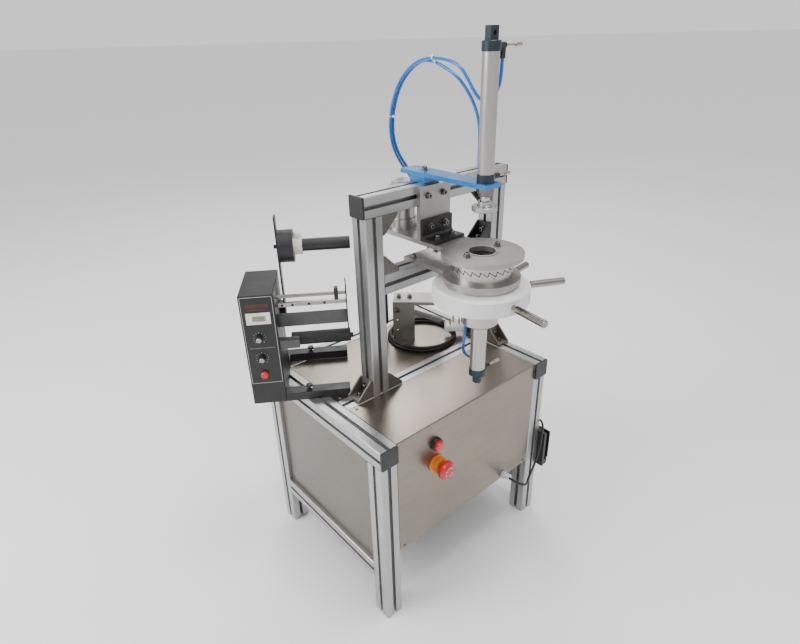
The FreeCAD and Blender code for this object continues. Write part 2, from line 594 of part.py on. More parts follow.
def toothRing(name, profile, tooth):
    """A turned ring plus a circle of teeth cut to the wall's inner and outer radius."""
    low = "midBeamTop + headPlate"
    base = turned(name + "_base", profile, "headX", "headY", low)
    wedge = padded(name + "_tooth", "XZ_Plane", tooth, "toothWall + 4")
    doc.recompute()
    count = int(size("toothCount"))
    spin = [Placement(spot("headX", "headY", low), Rotation(Vector(0, 0, 1), 360*i/count + 90))
            .multiply(Placement(spot("-(" + TOOTH_PITCH + ")/2", "toothWall + 2 - toothRing", "0"), UPRIGHT))
            for i in range(count)]
    teeth = copies(name + "_teeth", wedge, spin)
    outer = rod(name + "_outer", "toothRing", RING_ROOM, "headX", "headY", low)
    inner = rod(name + "_inner", "toothRing - toothWall", RING_ROOM, "headX", "headY", low)
    wall = cut(name + "_wall", outer, [inner])
    doc.recompute()
    # the teeth touch one another, so each is trimmed by itself before they are joined
    trimmed = [tooth.common(wall.Shape) for tooth in teeth.Shape.Solids]
    ring = doc.addObject("Part::Feature", name + "_toothed")
    ring.Shape = base.Shape.multiFuse(trimmed).removeSplitter()
    return ring


def makeToothRings():
    platform = "toothRing - toothWall - runGap"
    floor = f"{LEAF_FLOOR} - leafGap"
    foot = TOOTH_FOOT
    lower = toothRing("lower_ring", [
        ("productHole", "0"), ("toothRing", "0"), ("toothRing", foot), (platform, foot),
        (platform, floor), ("productHole", floor)],
        [("0", f"{foot} - 1"), (TOOTH_PITCH, f"{foot} - 1"), (TOOTH_PITCH, foot),
         ("toothSlant", f"{foot} + toothHigh"), ("0", foot)])
    pins = [rod(f"leaf_pin_{i}", "pinRadius", "leafThick + leafGap", *leafPin(i),
                f"midBeamTop + headPlate + {floor}") for i in range(int(SIZES["leafCount"]))]
    node("lower_tooth_ring", [fuse("lower_ring_pinned", [lower] + pins)])
    roof = f"{LEAF_FLOOR} + leafThick + leafGap"
    top = f"{foot} + toothHigh + toothGap"
    peak = "(toothSlant - toothShift)"
    upper = toothRing("upper_ring", [
        ("productHole", roof), (platform, roof), (platform, top), ("toothRing", top),
        ("toothRing", RING_ROOM), ("productHole", RING_ROOM)],
        [(peak, top), (f"{TOOTH_PITCH} - toothShift", f"{foot} + toothGap"), (f"{TOOTH_PITCH} + {peak}", top),
         (f"{TOOTH_PITCH} + {peak}", f"{top} + 1"), (peak, f"{top} + 1")])
    drills = pierce("ring", rimBoltPlaces(), "boltShank + boltHoleGap", "boltGrip + 2")
    node("upper_tooth_ring", [cut("upper_ring_drilled", upper, [drills])])


def leafPin(i):
    angle = f"({i}*360/leafCount)"
    return f"headX + leafPivot*cos({angle}*1deg)", f"headY + leafPivot*sin({angle}*1deg)"


def makeLeaves():
    """Pleating fingers: each turns on its pin and swings its tip in over the product hole."""
    for i in range(int(SIZES["leafCount"])):
        name = f"pleat_leaf_{i + 1}"
        hub = rod(name + "_hub", "leafRadius + 1", "leafThick", "0", "0", "0")
        tip = rod(name + "_tip", "leafRadius", "leafThick", "leafLength", "0", "0")
        bar = slab(name + "_bar", ("0", "leafLength"), ("-leafRadius", "leafRadius"), ("0", "leafThick"))
        hole = rod(name + "_hole", "pinRadius + runFit", "leafThick", "0", "0", "0")
        leaf = cut(name + "_cut", fuse(name + "_blank", [hub, tip, bar]), [hole])
        inward = 360*i/size("leafCount") + 180
        turn = Rotation(Vector(0, 0, 1), inward - size("leafRest"))
        group = node(name, [leaf])
        x, y = leafPin(i)
        place(group, x, y, f"midBeamTop + headPlate + {LEAF_FLOOR}", turn)


def makeHub():
    """The fixed hub under the head plate: flange, bearing sleeve, neck and cylinder mount."""
    low = f"midBeamTop - ({HUB_HIGH})"
    bore = "rodRadius + runFit"
    neck = "hubBodyHigh + hubNeckHigh - runGap"
    sleeve = f"{HUB_HIGH} - ringDrop + runGap"
    hub = turned("hub_body", [
        (bore, "0"), ("hubBody - 3", "0"), ("hubBody", "3"), ("hubBody", "hubBodyHigh"),
        ("hubNeck", "hubBodyHigh"), ("hubNeck", "hubFloorHigh"), (bore, "hubFloorHigh")],
        "headX", "headY", low)
    bearing = turned("hub_sleeve", [
        ("hubBore", "hubFloorHigh"), ("hubNeck", "hubFloorHigh"), ("hubNeck", neck), ("sleeveRadius", neck),
        ("sleeveRadius", sleeve), ("hubFlange", sleeve), ("hubFlange", HUB_HIGH), ("hubBore", HUB_HIGH)],
        "headX", "headY", low)
    clip = turned("ring_clip", [
        ("hubNeck + runFit", "0"), ("clipOuter", "0"), ("clipOuter", "2.5"), ("hubNeck + runFit", "2.5")],
        "headX", "headY", f"{low} + {neck} - 2.5")
    node("ring_hub", [hub, bearing, clip])


def makeHandRing():
    ring = turned("ring_body", [
        ("sleeveRadius + runFit", "0"), ("ringOuter - 2", "0"), ("ringOuter", "2"),
        ("ringOuter", "ringHigh - 4"), ("ringOuter - 5", "ringHigh"), ("sleeveRadius + runFit", "ringHigh")],
        "headX", "headY", RING_LOW)
    holes = []
    handles = []
    for i in RING_HOLES:
        angle = SIZES["handleFirst"] + i*SIZES["handlePitch"]
        turn = Rotation(Vector(0, 0, 1), angle).multiply(ALONG_X)
        holes.append(place(rod(f"handle_hole_{i}", "handleHole", "handleSeat + 4", "0", "0", "0"),
                           f"headX + (ringOuter - handleSeat)*cos({angle}deg)",
                           f"headY + (ringOuter - handleSeat)*sin({angle}deg)",
                           f"{RING_LOW} + ringHigh/2", turn))
        if i in HANDLES_AT:
            grip = "handleSeat + handleNeck"
            tip = "handleSeat + handleReach - ringOuter"
            handles.append(turned(f"handle_{i}", [
                ("0", "0"), ("handleShank", "0"), ("handleShank", grip), ("handleGrip - 0.8", grip),
                ("handleGrip", f"{grip} + 0.8"), ("handleGrip", f"{tip} - 1"), ("handleGrip - 1", tip),
                ("0", tip)],
                f"headX + (ringOuter - handleSeat)*cos({angle}deg)",
                f"headY + (ringOuter - handleSeat)*sin({angle}deg)",
                f"{RING_LOW} + ringHigh/2", turn))
    node("hand_ring", [cut("ring_drilled", ring, holes)])
    node("ring_handles", handles)


# ---------------------------------------------------------------- air cylinders
def makeEjector():
    tube = turned("ejector_barrel", [
        ("cylinderBore", "0"), ("ejectorTube", "0"), ("ejectorTube", "ejectorTubeLong"),
        ("cylinderBore", "ejectorTubeLong")], "headX", "headY", CAP_TOP)
    node("ejector_tube", [tube])
    full = "ejectorCapHigh + ejectorBossHigh"
    cap = turned("ejector_end", [
        ("0", "0"), ("ejectorBoss - 2", "0"), ("ejectorBoss", "2"), ("ejectorBoss", "ejectorBossHigh - 4"),
        ("ejectorCap - 3", "ejectorBossHigh"), ("ejectorCap", "ejectorBossHigh + 3"),
        ("ejectorCap", full), ("0", full)],
        "headX", "headY", f"{CAP_TOP} - ({full})")
    node("ejector_cap", [cap])
    piston = "cylinderBore - runFit"
    rest = "3.5"
    padLow = f"ejectorTubeLong + hubFloorHigh + 1 - {rest}"
    stem = turned("ejector_stem", [
        ("0", "0"), (piston, "0"), (piston, "pistonHigh"), ("rodRadius", "pistonHigh"),
        ("rodRadius", padLow), ("0", padLow)], "headX", "headY", f"{CAP_TOP} + {rest}")
    pad = turned("ejector_table", [
        ("0", "0"), ("ejectorPad", "0"), ("ejectorPad", "padThick - 1"), ("ejectorPad - 1", "padThick"),
        ("0", "padThick")], "headX", "headY", f"{HUB_BOTTOM} + hubFloorHigh + 1")
    node("ejector_rod", [stem, pad])


def makePressCylinder():
    tube = turned("press_barrel", [
        ("cylinderBore", "0"), ("pressTube", "0"), ("pressTube", "pressTubeLong"),
        ("cylinderBore", "pressTubeLong")], "headX", "headY", TUBE_LOW)
    node("press_tube", [tube])
    nose = "armThick + noseHang"
    front = turned("press_front", [
        ("rodRadius + runFit", "0"), ("noseRadius - 1", "0"), ("noseRadius", "1"), ("noseRadius", nose),
        ("pressCap", nose), ("pressCap", f"{nose} + pressCapHigh"),
        ("rodRadius + runFit", f"{nose} + pressCapHigh")], "headX", "headY", f"{ARM_TOP} - ({nose})")
    nutHole = rod("nose_nut_hole", "noseRadius + runFit", "noseNutHigh", "headX", "headY", NUT_LOW)
    nut = cut("nose_nut_cut", hexBar("nose_nut", "noseNut", "noseNutHigh", "headX", "headY", NUT_LOW),
              [nutHole])
    rear = turned("press_rear", [
        ("0", "0"), ("pressCap", "0"), ("pressCap", "rearCapHigh - 1"), ("pressCap - 1", "rearCapHigh"),
        ("0", "rearCapHigh")], "headX", "headY", TUBE_HIGH)
    tangLow = f"{TUBE_HIGH} + rearCapHigh"
    tang = slab("press_tang", ("headX - tangWidth/2", "headX + tangWidth/2"),
                ("headY - tangThick/2", "headY + tangThick/2"), (tangLow, f"{tangLow} + tangHigh"))
    tangHole = rod("tang_hole", "tangHole", "tangThick", "headX", "headY - tangThick/2",
                   f"{tangLow} + tangHigh/2", ALONG_Y)
    node("press_caps", [front, nut, cut("press_rear_cut", fuse("press_rear_cap", [rear, tang]), [tangHole])])
    padTop = "pressPadBottom + pressFlange + pressNeckHigh"
    reach = f"{TUBE_HIGH} - 10 - ({padTop})"
    stem = turned("press_stem", [
        ("0", "0"), ("rodRadius", "0"), ("rodRadius", f"{reach} - pistonHigh"),
        ("cylinderBore - runFit", f"{reach} - pistonHigh"), ("cylinderBore - runFit", reach),
        ("0", reach)], "headX", "headY", padTop)
    rodNutHole = rod("rod_nut_hole", "rodRadius + runFit", "rodNutHigh", "headX", "headY", padTop)
    rodNut = cut("rod_nut_cut", hexBar("rod_nut", "rodNut", "rodNutHigh", "headX", "headY", padTop),
                 [rodNutHole])
    node("press_rod", [stem, rodNut])
    pad = turned("press_foot", [
        ("0", "0"), ("pressPad - 1", "0"), ("pressPad", "1"), ("pressPad", "pressFlange - 1"),
        ("pressPad - 1", "pressFlange"), ("pressNeck + 2", "pressFlange"), ("pressNeck", "pressFlange + 2"),
        ("pressNeck", "pressFlange + pressNeckHigh"), ("0", "pressFlange + pressNeckHigh")],
        "headX", "headY", "pressPadBottom")
    node("press_pad", [pad])


def makeArm():
    xs = ("headX - armWidth/2", "headX + armWidth/2")
    blank = slab("arm_blank", xs, ("armFront", "armBack"), ("gantryTop + spacerHigh", ARM_TOP))
    bore = rod("arm_bore", "noseRadius + runFit", "armThick", "headX", "headY", "gantryTop + spacerHigh")
    node("arm_plate", [cut("arm_cut", blank, [
        bore, pierce("arm", boltPlaces(), "boltShank + boltHoleGap", "boltGrip + 2")])])
    block = slab("spacer_blank", xs, ("crossBeamY - beam/2", "crossBeamY + beam/2"),
                 ("gantryTop", "gantryTop + spacerHigh"))
    node("arm_spacer", [cut("spacer_cut", block,
                            [pierce("spacer", boltPlaces(), "boltShank + boltHoleGap", "boltGrip + 2")])])


def fitting(name, x, y, z, portTurn, needle="needleLong"):
    """Elbow with a needle screw straight out along +X and its tube port along the turned Z."""
    body = rod(name + "_body", "fittingRadius", "fittingOut + 3", x, y, z, ALONG_X)
    port = rod(name + "_port", "fittingRadius", "fittingPort", f"{x} + fittingOut - 2", y, z, portTurn)
    start = f"{x} + fittingOut + 3"
    stem = rod(name + "_needle", "needleRadius", needle, start, y, z, ALONG_X)
    knob = rod(name + "_knob", "needleKnob", "needleKnobLong", f"{start} + {needle}", y, z, ALONG_X)
    return [fuse(name + "_elbow", [body, port]), fuse(name + "_screw", [stem, knob])]


def fittingSpots():
    """Where each elbow leaves its cylinder: x, y, z and the turn of its tube port."""
    return {
        "upper": ("headX + pressCap", "headY", f"{TUBE_HIGH} + rearCapHigh/2", DOWN),
        "lower": ("headX + pressCap", "headY", f"{ARM_TOP} + pressCapHigh/2", ALONG_Y),
        "ejector": ("headX + ejectorCap", "headY", f"{CAP_TOP} - 7", ALONG_Y),
    }


def makeFittings():
    parts = []
    for name, (x, y, z, turn) in fittingSpots().items():
        longNeedle = "needleLong + 10" if name == "upper" else "needleLong"
        parts += fitting(f"{name}_fitting", x, y, z, turn, longNeedle)
    parts.append(rod("beam_fitting", "fittingRadius", "16", "headX + 21", "crossBeamY - beam/2",
                     "midBeamTop - beam*0.75", ALONG_MINUS_Y))
    parts.append(rod("plate_fitting", "fittingRadius", "fittingOut", *PLATE_FITTING, REAR_TOP))
    node("speed_controllers", parts)


def makePost():
    post = turned("post_body", [
        ("0", "0"), ("postBase", "0"), ("postBase", "postBaseHigh"), ("postRadius", "postBaseHigh"),
        ("postRadius", "postHigh - 10"), ("postRadius - 6", "postHigh - 8"), ("postRadius - 6", "postHigh"),
        ("0", "postHigh")], "postX", "postY", "upperPlateTop")
    node("rear_post", [post])


# ---------------------------------------------------------------- tubes and cords
def softRoute(name, radius, points):
    """A round tube along straight runs joined by tangent arcs; prints each arc's radius."""
    points = [Vector(*p) for p in points]
    radius = size(radius)
    edges = []
    start = points[0]
    radii = []
    for before, at, after in zip(points, points[1:], points[2:]):
        runIn, runOut = at - before, after - at
        turn = runIn.getAngle(runOut)
        setBack = 0.45*min(runIn.Length, runOut.Length)
        radii.append(setBack/math.tan(turn/2))
        inward = Vector(runIn).normalize()
        outward = Vector(runOut).normalize()
        arcStart = at - inward*setBack
        arcEnd = at + outward*setBack
        toMiddle = (outward - inward).normalize()
        middle = at + toMiddle*(setBack/math.sin(turn/2)*(1/math.cos(turn/2) - 1)*math.cos(turn/2))
        edges.append(Part.LineSegment(start, arcStart).toShape())
        edges.append(Part.Arc(arcStart, middle, arcEnd).toShape())
        start = arcEnd
    edges.append(Part.LineSegment(start, points[-1]).toShape())
    path = Part.Wire(edges)
    section = Part.Wire([Part.Circle(points[0], points[1] - points[0], radius).toShape()])
    tube = path.makePipeShell([section], True, False)
    ideal = math.pi*radius**2*path.Length
    print(f"{name}: length {path.Length:.1f}, least radius {min(radii):.1f}, "
          f"volume ratio {tube.Volume/ideal:.4f}")
    part = doc.addObject("Part::Feature", name + "_tube")
    part.Shape = tube
    return part


def beside(points, gap):
    """A second route next to the first, moved square to each run towards +X."""
    moved = []
    for before, at, after in zip(points, points[1:], points[2:]):
        run = (Vector(*after) - Vector(*before)).normalize()
        side = (Vector(1, 0, 0) - run*run.x).normalize()
        moved.append(tuple(Vector(*at) + side*gap))
    return moved


def makeTubes():
    """Air tubes: two from the press cylinder over one loop to the rear, one from the ejector cylinder."""
    loop = [
        (20, -128, 1058), (20, -90, 1068), (20, -46, 1068), (21, -6, 1054), (24, 32, 1024), (28, 57, 984),
        (34, 72, 944), (44, 79, 908), (60, 80, 876), (84, 80, 846), (112, 80, 812), (138, 81, 768),
        (151, 82, 716), (153, 84, 668), (144, 88, 626), (124, 95, 594),
    ]
    x, y, z, _ = fittingSpots()["upper"]
    start = spot(f"{x} + fittingOut - 2", y, f"{z} - fittingPort")
    end = spot("valveX", "valveY", "valveLow + valveHigh")
    route = [start, (start.x, start.y, start.z - 22), (50, -188, 1022), (44, -178, 1004), (35, -165, 1003),
             (29, -153, 1018), (25, -142, 1038)]
    route += loop + [(102, 107, 578), (83, 121, 577), (68, 135, 581), (end.x, end.y, end.z + 24), end]
    node("air_tube_upper", [softRoute("air_tube_upper", "airTube", route)])
    x, y, z, _ = fittingSpots()["lower"]
    start = spot(f"{x} + fittingOut - 2", f"{y} + fittingPort", z)
    end = spot(*PLATE_FITTING, f"{REAR_TOP} + fittingOut")
    route = [start, (start.x, start.y + 15, start.z), (54, -148, 889), (58, -144, 905), (60, -143, 930),
             (59, -142, 960), (53, -137, 990), (42, -125, 1020), (31, -106, 1045)]
    route += beside(loop[1:], size("2*airTube + 1"))
    route += [(112, 115, 569), (92, 138, 566), (70, 157, 562), (51, 158, 541), (44, 147, 514),
              (end.x, end.y, end.z + 32), end]
    node("air_tube_lower", [softRoute("air_tube_lower", "airTube", route)])
    x, y, z, _ = fittingSpots()["ejector"]
    start = spot(f"{x} + fittingOut - 2", f"{y} + fittingPort", z)
    end = spot("headX + 21", "crossBeamY - beam/2 - 16", "midBeamTop - beam*0.75")
    route = [start, (start.x, start.y + 15, start.z), (45, -149, 504), (32, -148, 516), (20, -154, 533),
             (14, -161, 554), (15, -162, 576), (22, -157, 595), (33, -149, 611), (41, -138, 626),
             (44, -122, 638), (44.5, -105, 649), (end.x, end.y - 14, end.z - 4), (end.x, end.y - 8, end.z), end]
    node("air_tube_ejector", [softRoute("air_tube_ejector", "airTube", route)])


def makePedalCord():
    """The foot switch's cord, from its gland round the leg and into the top of the switch."""
    start = spot("glandX", "-tableDepth/2 + frontSkinInset - glandLong - 6", "glandZ")
    end = spot("tableWidth/2 + pedalBase + 3.2", "pedalFront + pedalDeep/2", "pedalLow + pedalHigh")
    route = [start, (start.x, start.y - 13, start.z), (122, -248, 175.5), (135, -254, 168), (151, -249, 159),
             (168, -239, 152), (186, -231, 150), (203, -226, 157), (217, -223.5, 172), (227, -222, 193),
             (234, -220.5, 214), (238, -219.5, 233), (240, -219, 250), (245, -214, 263), (250.5, -203.5, 267),
             (254.2, -193.5, 262), (end.x, end.y, end.z + 13), end]
    node("pedal_cord", [softRoute("pedal_cord", "cordRadius", route)])


# ---------------------------------------------------------------- electrical pieces
def makePanelPieces():
    front = "-tableDepth/2 + frontSkinInset"
    bezel = turned("lamp_bezel", [
        ("0", "-6"), ("stopStem", "-6"), ("stopStem", "0"), ("lampRadius + 1", "0"), ("lampRadius + 1", "3"),
        ("lampRadius", "8"), ("0", "8")], "lampX", front, "lampZ", ALONG_MINUS_Y)
    lens = turned("lamp_lens", [
        ("0", "8"), ("lampRadius - 1.5", "8"), ("lampRadius - 1.5", "13"), ("lampRadius - 4", "15.5"),
        ("0", "16")], "lampX", front, "lampZ", ALONG_MINUS_Y)
    node("power_lamp", [bezel, lens])
    collar = turned("stop_body", [
        ("stopStem/2 + runFit", "-8"), ("stopStem", "-8"), ("stopStem", "0"), ("stopCollar + 3", "0"),
        ("stopCollar + 3", "3"), ("stopCollar", "4"), ("stopCollar", "stopCollarLong"),
        ("stopStem/2 + runFit", "stopCollarLong")], "stopX", front, "stopZ", ALONG_MINUS_Y)
    node("stop_collar", [collar])
    low = "stopCollarLong + stopTravel + runGap"
    button = turned("stop_mushroom", [
        ("0", "stopTravel - 8"), ("stopStem/2", "stopTravel - 8"), ("stopStem/2", low),
        ("stopHead - 4", low), ("stopHead", f"{low} + 4"), ("stopHead", f"{low} + 9"),
        ("stopHead - 3", f"{low} + stopHeadLong - 3"), ("stopHead - 8", f"{low} + stopHeadLong"),
        ("0", f"{low} + stopHeadLong")], "stopX", front, "stopZ", ALONG_MINUS_Y)
    node("stop_button", [button])
    tip = "glandLong + 6"
    gland = turned("pedal_gland", [
        ("0", "-5"), ("glandRadius/2", "-5"), ("glandRadius/2", "0"), ("glandRadius", "0"),
        ("glandRadius", "7"), ("glandRadius - 1.5", "8"), ("glandRadius - 1.5", "glandLong"),
        ("glandRadius/2", tip), ("0", tip)], "glandX", front, "glandZ", ALONG_MINUS_Y)
    grommet = turned("mains_grommet", [
        ("mainsRadius + runFit", "-2"), ("2*mainsRadius - sheetGap", "-2"), ("2*mainsRadius - sheetGap", "0"),
        ("mainsRadius + runFit", "0")], CORD_EXIT[0], CORD_EXIT[1], REAR_TOP)
    node("cable_glands", [gland, grommet])


def makePedal():
    """Foot switch stored on the right front leg: base, pin and a treadle hinged at its lower end."""
    side = "tableWidth/2"
    ys = ("pedalFront", "pedalFront + pedalDeep")
    base = slab("pedal_plate", (side, f"{side} + pedalBase"), ys, ("pedalLow", "pedalLow + pedalHigh"))
    box = slab("pedal_core", (f"{side} + pedalBase", f"{side} + pedalThick - 7.5"),
               ("pedalFront + 12", "pedalFront + pedalDeep - 12"),
               ("pedalLow + 22", "pedalLow + pedalHigh"))
    ears = [slab(f"pedal_ear_{i}", (f"{side} + pedalBase", f"{side} + pedalThick - 3"), (y, f"{y} + pedalEar"),
                 ("pedalLow + 2", "pedalLow + 16"))
            for i, y in enumerate(("pedalFront", "pedalFront + pedalDeep - pedalEar"))]
    pin = rod("pedal_pin", "pedalPin", "pedalDeep", f"{side} + {PEDAL_PIN_OUT}", "pedalFront", PEDAL_PIN_UP,
              ALONG_Y)
    node("pedal_base", [fuse("pedal_base_body", [base, box, pin] + ears)])
    outer = slab("treadle_face", (f"{side} + pedalThick - 3", f"{side} + pedalThick"), ys,
                 ("pedalLow + 18", "pedalLow + pedalHigh - 2"))
    knuckle = rod("treadle_knuckle", "pedalPin + 2.5", "pedalDeep - 2*pedalEar - 1", f"{side} + {PEDAL_PIN_OUT}",
                  "pedalFront + pedalEar + 0.5", PEDAL_PIN_UP, ALONG_Y)
    web = slab("treadle_web", (f"{side} + pedalThick - 5.5", f"{side} + pedalThick"),
               ("pedalFront + pedalEar + 0.5", "pedalFront + pedalDeep - pedalEar - 0.5"),
               (PEDAL_PIN_UP, "pedalLow + 20"))
    hole = rod("treadle_hole", "pedalPin + runFit", "pedalDeep", f"{side} + {PEDAL_PIN_OUT}", "pedalFront",
               PEDAL_PIN_UP, ALONG_Y)
    node("pedal_treadle", [cut("treadle_cut", fuse("treadle_body", [outer, knuckle, web]), [hole])])


def makeMains():
    """The stored coil of mains cable on the rear plate, with its plug lying on it."""
    coil = turned("coil_ring", [
        ("coilInner", "2"), ("coilInner + 2", "0"), ("coilOuter - 2", "0"), ("coilOuter", "2"),
        ("coilOuter", "coilHigh - 2"), ("coilOuter - 2", "coilHigh"), ("coilInner + 2", "coilHigh"),
        ("coilInner", "coilHigh - 2")], "coilX", "coilY", REAR_TOP)
    node("mains_coil", [coil])
    half = "plugWidth/2"
    body = slab("plug_body", (f"-{half}", half), (f"-{half}*0.8", f"{half}*0.8"), ("0", "plugHigh"))
    soft = roundEdges("plug_soft", body, "3", lambda edge: isAlong(edge, Vector(0, 0, 1)))
    pins = [slab(f"plug_pin_{i}", (f"{x} - 2", f"{x} + 2"), (f"{y} - 3", f"{y} + 3"),
                 ("plugHigh", "plugHigh + 17"))
            for i, (x, y) in enumerate([("-11", "-6"), ("11", "-6"), ("0", "9")])]
    group = node("mains_plug", [soft] + pins)
    place(group, "plugX", "plugY", f"{REAR_TOP} + coilHigh", Rotation(Vector(0, 0, 1), -35))


# ---------------------------------------------------------------- stand behind the gantry
def standPlacement():
    return Placement(Vector(size("standX"), size("standY"), 0), Rotation(Vector(0, 0, 1), size("standTurn")))


def makeStand():
    """Plate bracket on the table: an upright plate with three holes, a top plate and a sloping bar."""
    under = "standTop - standPlate"
    top = slab("stand_top", ("0", "standLong"), ("0", "standDeep"), (under, "standTop"))
    hang = padded("stand_hang", "XZ_Plane", [
        ("0", "0"), ("standWide", "0"), ("standWide", f"{under} - {REAR_TOP}"), ("0", f"{under} - {REAR_TOP}")],
        "standPlate")
    place(hang, "0", "standPlate", REAR_TOP)
    holes = [rod(f"stand_hole_{i}", "2.5", "3*standPlate", "standWide*0.2", "-standPlate", z, ALONG_Y)
             for i, z in enumerate((f"{REAR_TOP} + 26", f"{REAR_TOP} + 51"))]
    boltHole = rod("stand_bolt_hole", "boltShank + boltHoleGap", "3*standPlate", "standWide*0.2",
                   "-standPlate", "standTop - standPlate*2.6", ALONG_Y)
    bar = slab("slide_bar", ("0", "96"), ("standPlate", "standPlate + 11"), ("-5", "5"))
    bar.Placement.Rotation = Rotation(Vector(0, 1, 0), 17)
    bind(bar, **{"Placement.Base.x": "standWide*0.45", "Placement.Base.z": "standTop - 30"})
    topHoles = [rod(f"stand_top_hole_{i}", "boltShank + boltHoleGap", "3*standPlate", x, "standDeep/2",
                    f"{under} - standPlate") for i, x in enumerate(("standWide*0.25", "standWide*0.75"))]
    parts = [cut("stand_top_cut", top, topHoles), cut("stand_hang_cut", hang, holes + [boltHole]), bar]
    group = node("rear_bracket", parts)
    place(group, "standX", "standY", "0", Rotation(Vector(0, 0, 1), size("standTurn")))
    valve = rod("valve_body", "valveRadius", "valveHigh", "valveX", "valveY", "valveLow")
    stem = rod("valve_stem", "airTube", f"valveLow - ({REAR_TOP})", "valveX", "valveY", REAR_TOP)
    node("flow_valve", [fuse("valve_fused", [valve, stem])])


# ---------------------------------------------------------------- label dispenser
def seat(group):
    """Move a group from the dispenser's own frame onto the table."""
    return place(group, "labelX", "labelY", "tableHeight", Rotation(Vector(0, 0, 1), size("labelTurn")))


def makeDispenser():
    case = slab("case_block", ("0", "caseWide"), ("0", "caseDeep"), ("0", "caseHigh"))
    soft = roundEdges("case_soft", case, "caseRound", lambda edge: edge.CenterOfMass.z > 1)
    tail = slab("case_tail", ("0", "caseWide"), ("caseDeep - 4", "rearFootAt + footSize"), ("0", "footHigh"))
    side = "caseWide - 10"
    tools = [rod("case_roller_hole", "rollerAxle + runFit", "20", side, "guideAt", "rollerAt", ALONG_X)]
    for name, up, radius in (("speed", "speedKnobUp", "2"), ("delay", "delayKnobUp", "2"),
                             ("feed", "buttonUp", "buttonRadius")):
        deep = "buttonTravel + 5" if name == "feed" else "6"
        tools.append(rod(f"case_{name}_hole", f"{radius} + runFit", f"{deep} + 4", "knobAt", "-4", up, ALONG_Y))
    seat(node("label_case", [cut("case_cut", fuse("case_body", [soft, tail]), tools)]))
    for name, up in (("speed_knob", "speedKnobUp"), ("delay_knob", "delayKnobUp")):
        knob = turned(name + "_body", [
            ("0", "-4"), ("2", "-4"), ("2", "runGap"), ("knobRadius", "runGap"), ("knobRadius", "2"),
            ("knobRadius - 1", "knobLong - 1"), ("knobRadius - 2", "knobLong"), ("0", "knobLong")],
            "knobAt", "0", up, ALONG_MINUS_Y)
        seat(node(name, [knob]))
    button = turned("feed_button_body", [
        ("0", "-4"), ("buttonRadius", "-4"), ("buttonRadius", "buttonLong - 1"),
        ("buttonRadius - 1", "buttonLong"), ("0", "buttonLong")], "knobAt", "0", "buttonUp", ALONG_MINUS_Y)
    seat(node("feed_button", [button]))
    makeRollArm()
    makeLabelPath()
    makeFeet()


def makeRollArm():
    at = ("caseWide + armOffset", "armAt", "rollAt")
    ys = ("armAt - armSheetWide/2", "armAt + armSheetWide/2")
    plate = slab("arm_strip", ("caseWide + armOffset", "caseWide + armOffset + armSheet"), ys,
                 ("armLow", "armHigh"))
    foot = slab("arm_foot", ("caseWide", "caseWide + armOffset"), ys, ("armLow + 6", "armLow + 28"))
    hole = rod("arm_hole", "rollStub + runFit", "3*armSheet", "caseWide + armOffset - armSheet", *at[1:],
               ALONG_X)
    seat(node("supply_arm", [cut("arm_strip_cut", fuse("arm_strip_body", [plate, foot]), [hole])]))
    start = "caseWide + armOffset + armSheet + runGap"
    stub = rod("roll_stub", "rollStub", "armSheet + 6 + 2*runGap", "caseWide + armOffset - 6", *at[1:], ALONG_X)
    hub = rod("roll_hub", "rollHub", "rollHubLong", start, *at[1:], ALONG_X)
    collar = rod("roll_collar", "rollCollar", "rollCollarLong", f"{start} + rollHubLong", *at[1:], ALONG_X)
    shaft = rod("roll_shaft", "rollShaft", "rollShaftLong", f"{start} + rollHubLong + rollCollarLong", *at[1:],
                ALONG_X)
    seat(node("roll_spindle", [fuse("roll_core", [stub, hub]), collar, shaft]))


def makeLabelPath():
    end = "caseWide + guideLong"
    thin = rod("guide_rod", "guideRod", "guideLong", "caseWide", "guideAt", "guideRodAt", ALONG_X)
    square = slab("guide_bar", ("caseWide", end), ("guideAt - guideBar/2", "guideAt + guideBar/2"),
                  ("guideBarAt", "guideBarAt + guideBar"))
    plate = slab("guide_plate", ("caseWide", end), ("guideAt - 1", "guideAt + 1"),
                 ("guidePlateLow", "guidePlateLow + guidePlateHigh"))
    endPlate = slab("end_plate", (end, f"{end} + 2.5"), ("guideAt - endPlateDeep/2", "guideAt + endPlateDeep/2"),
                    ("endPlateLow", "endPlateLow + endPlateHigh"))
    clip = slab("rod_clip", (f"{end} - 22", f"{end} - 14"), ("guideAt - 6", "guideAt + 6"),
                ("guideRodAt - 12", "guideRodAt + 12"))
    clipHole = rod("clip_hole", "guideRod", "8", f"{end} - 22", "guideAt", "guideRodAt", ALONG_X)
    sensor = slab("label_sensor", ("caseWide", "caseWide + sensorLong"), ("6", "22"),
                  ("sensorLow", "sensorLow + sensorHigh"))
    seat(node("label_guides", [thin, square, plate, endPlate, cut("clip_cut", clip, [clipHole]), sensor]))
    roller = turned("roller_body", [
        ("0", "-8"), ("rollerAxle", "-8"), ("rollerAxle", "rollerFrom"), ("rollerRadius", "rollerFrom"),
        ("rollerRadius", "rollerFrom + rollerLong"), ("rollerAxle", "rollerFrom + rollerLong"),
        ("rollerAxle", "rollerFrom + rollerLong + 5"), ("0", "rollerFrom + rollerLong + 5")],
        "caseWide", "guideAt", "rollerAt", ALONG_X)
    seat(node("feed_roller", [roller]))


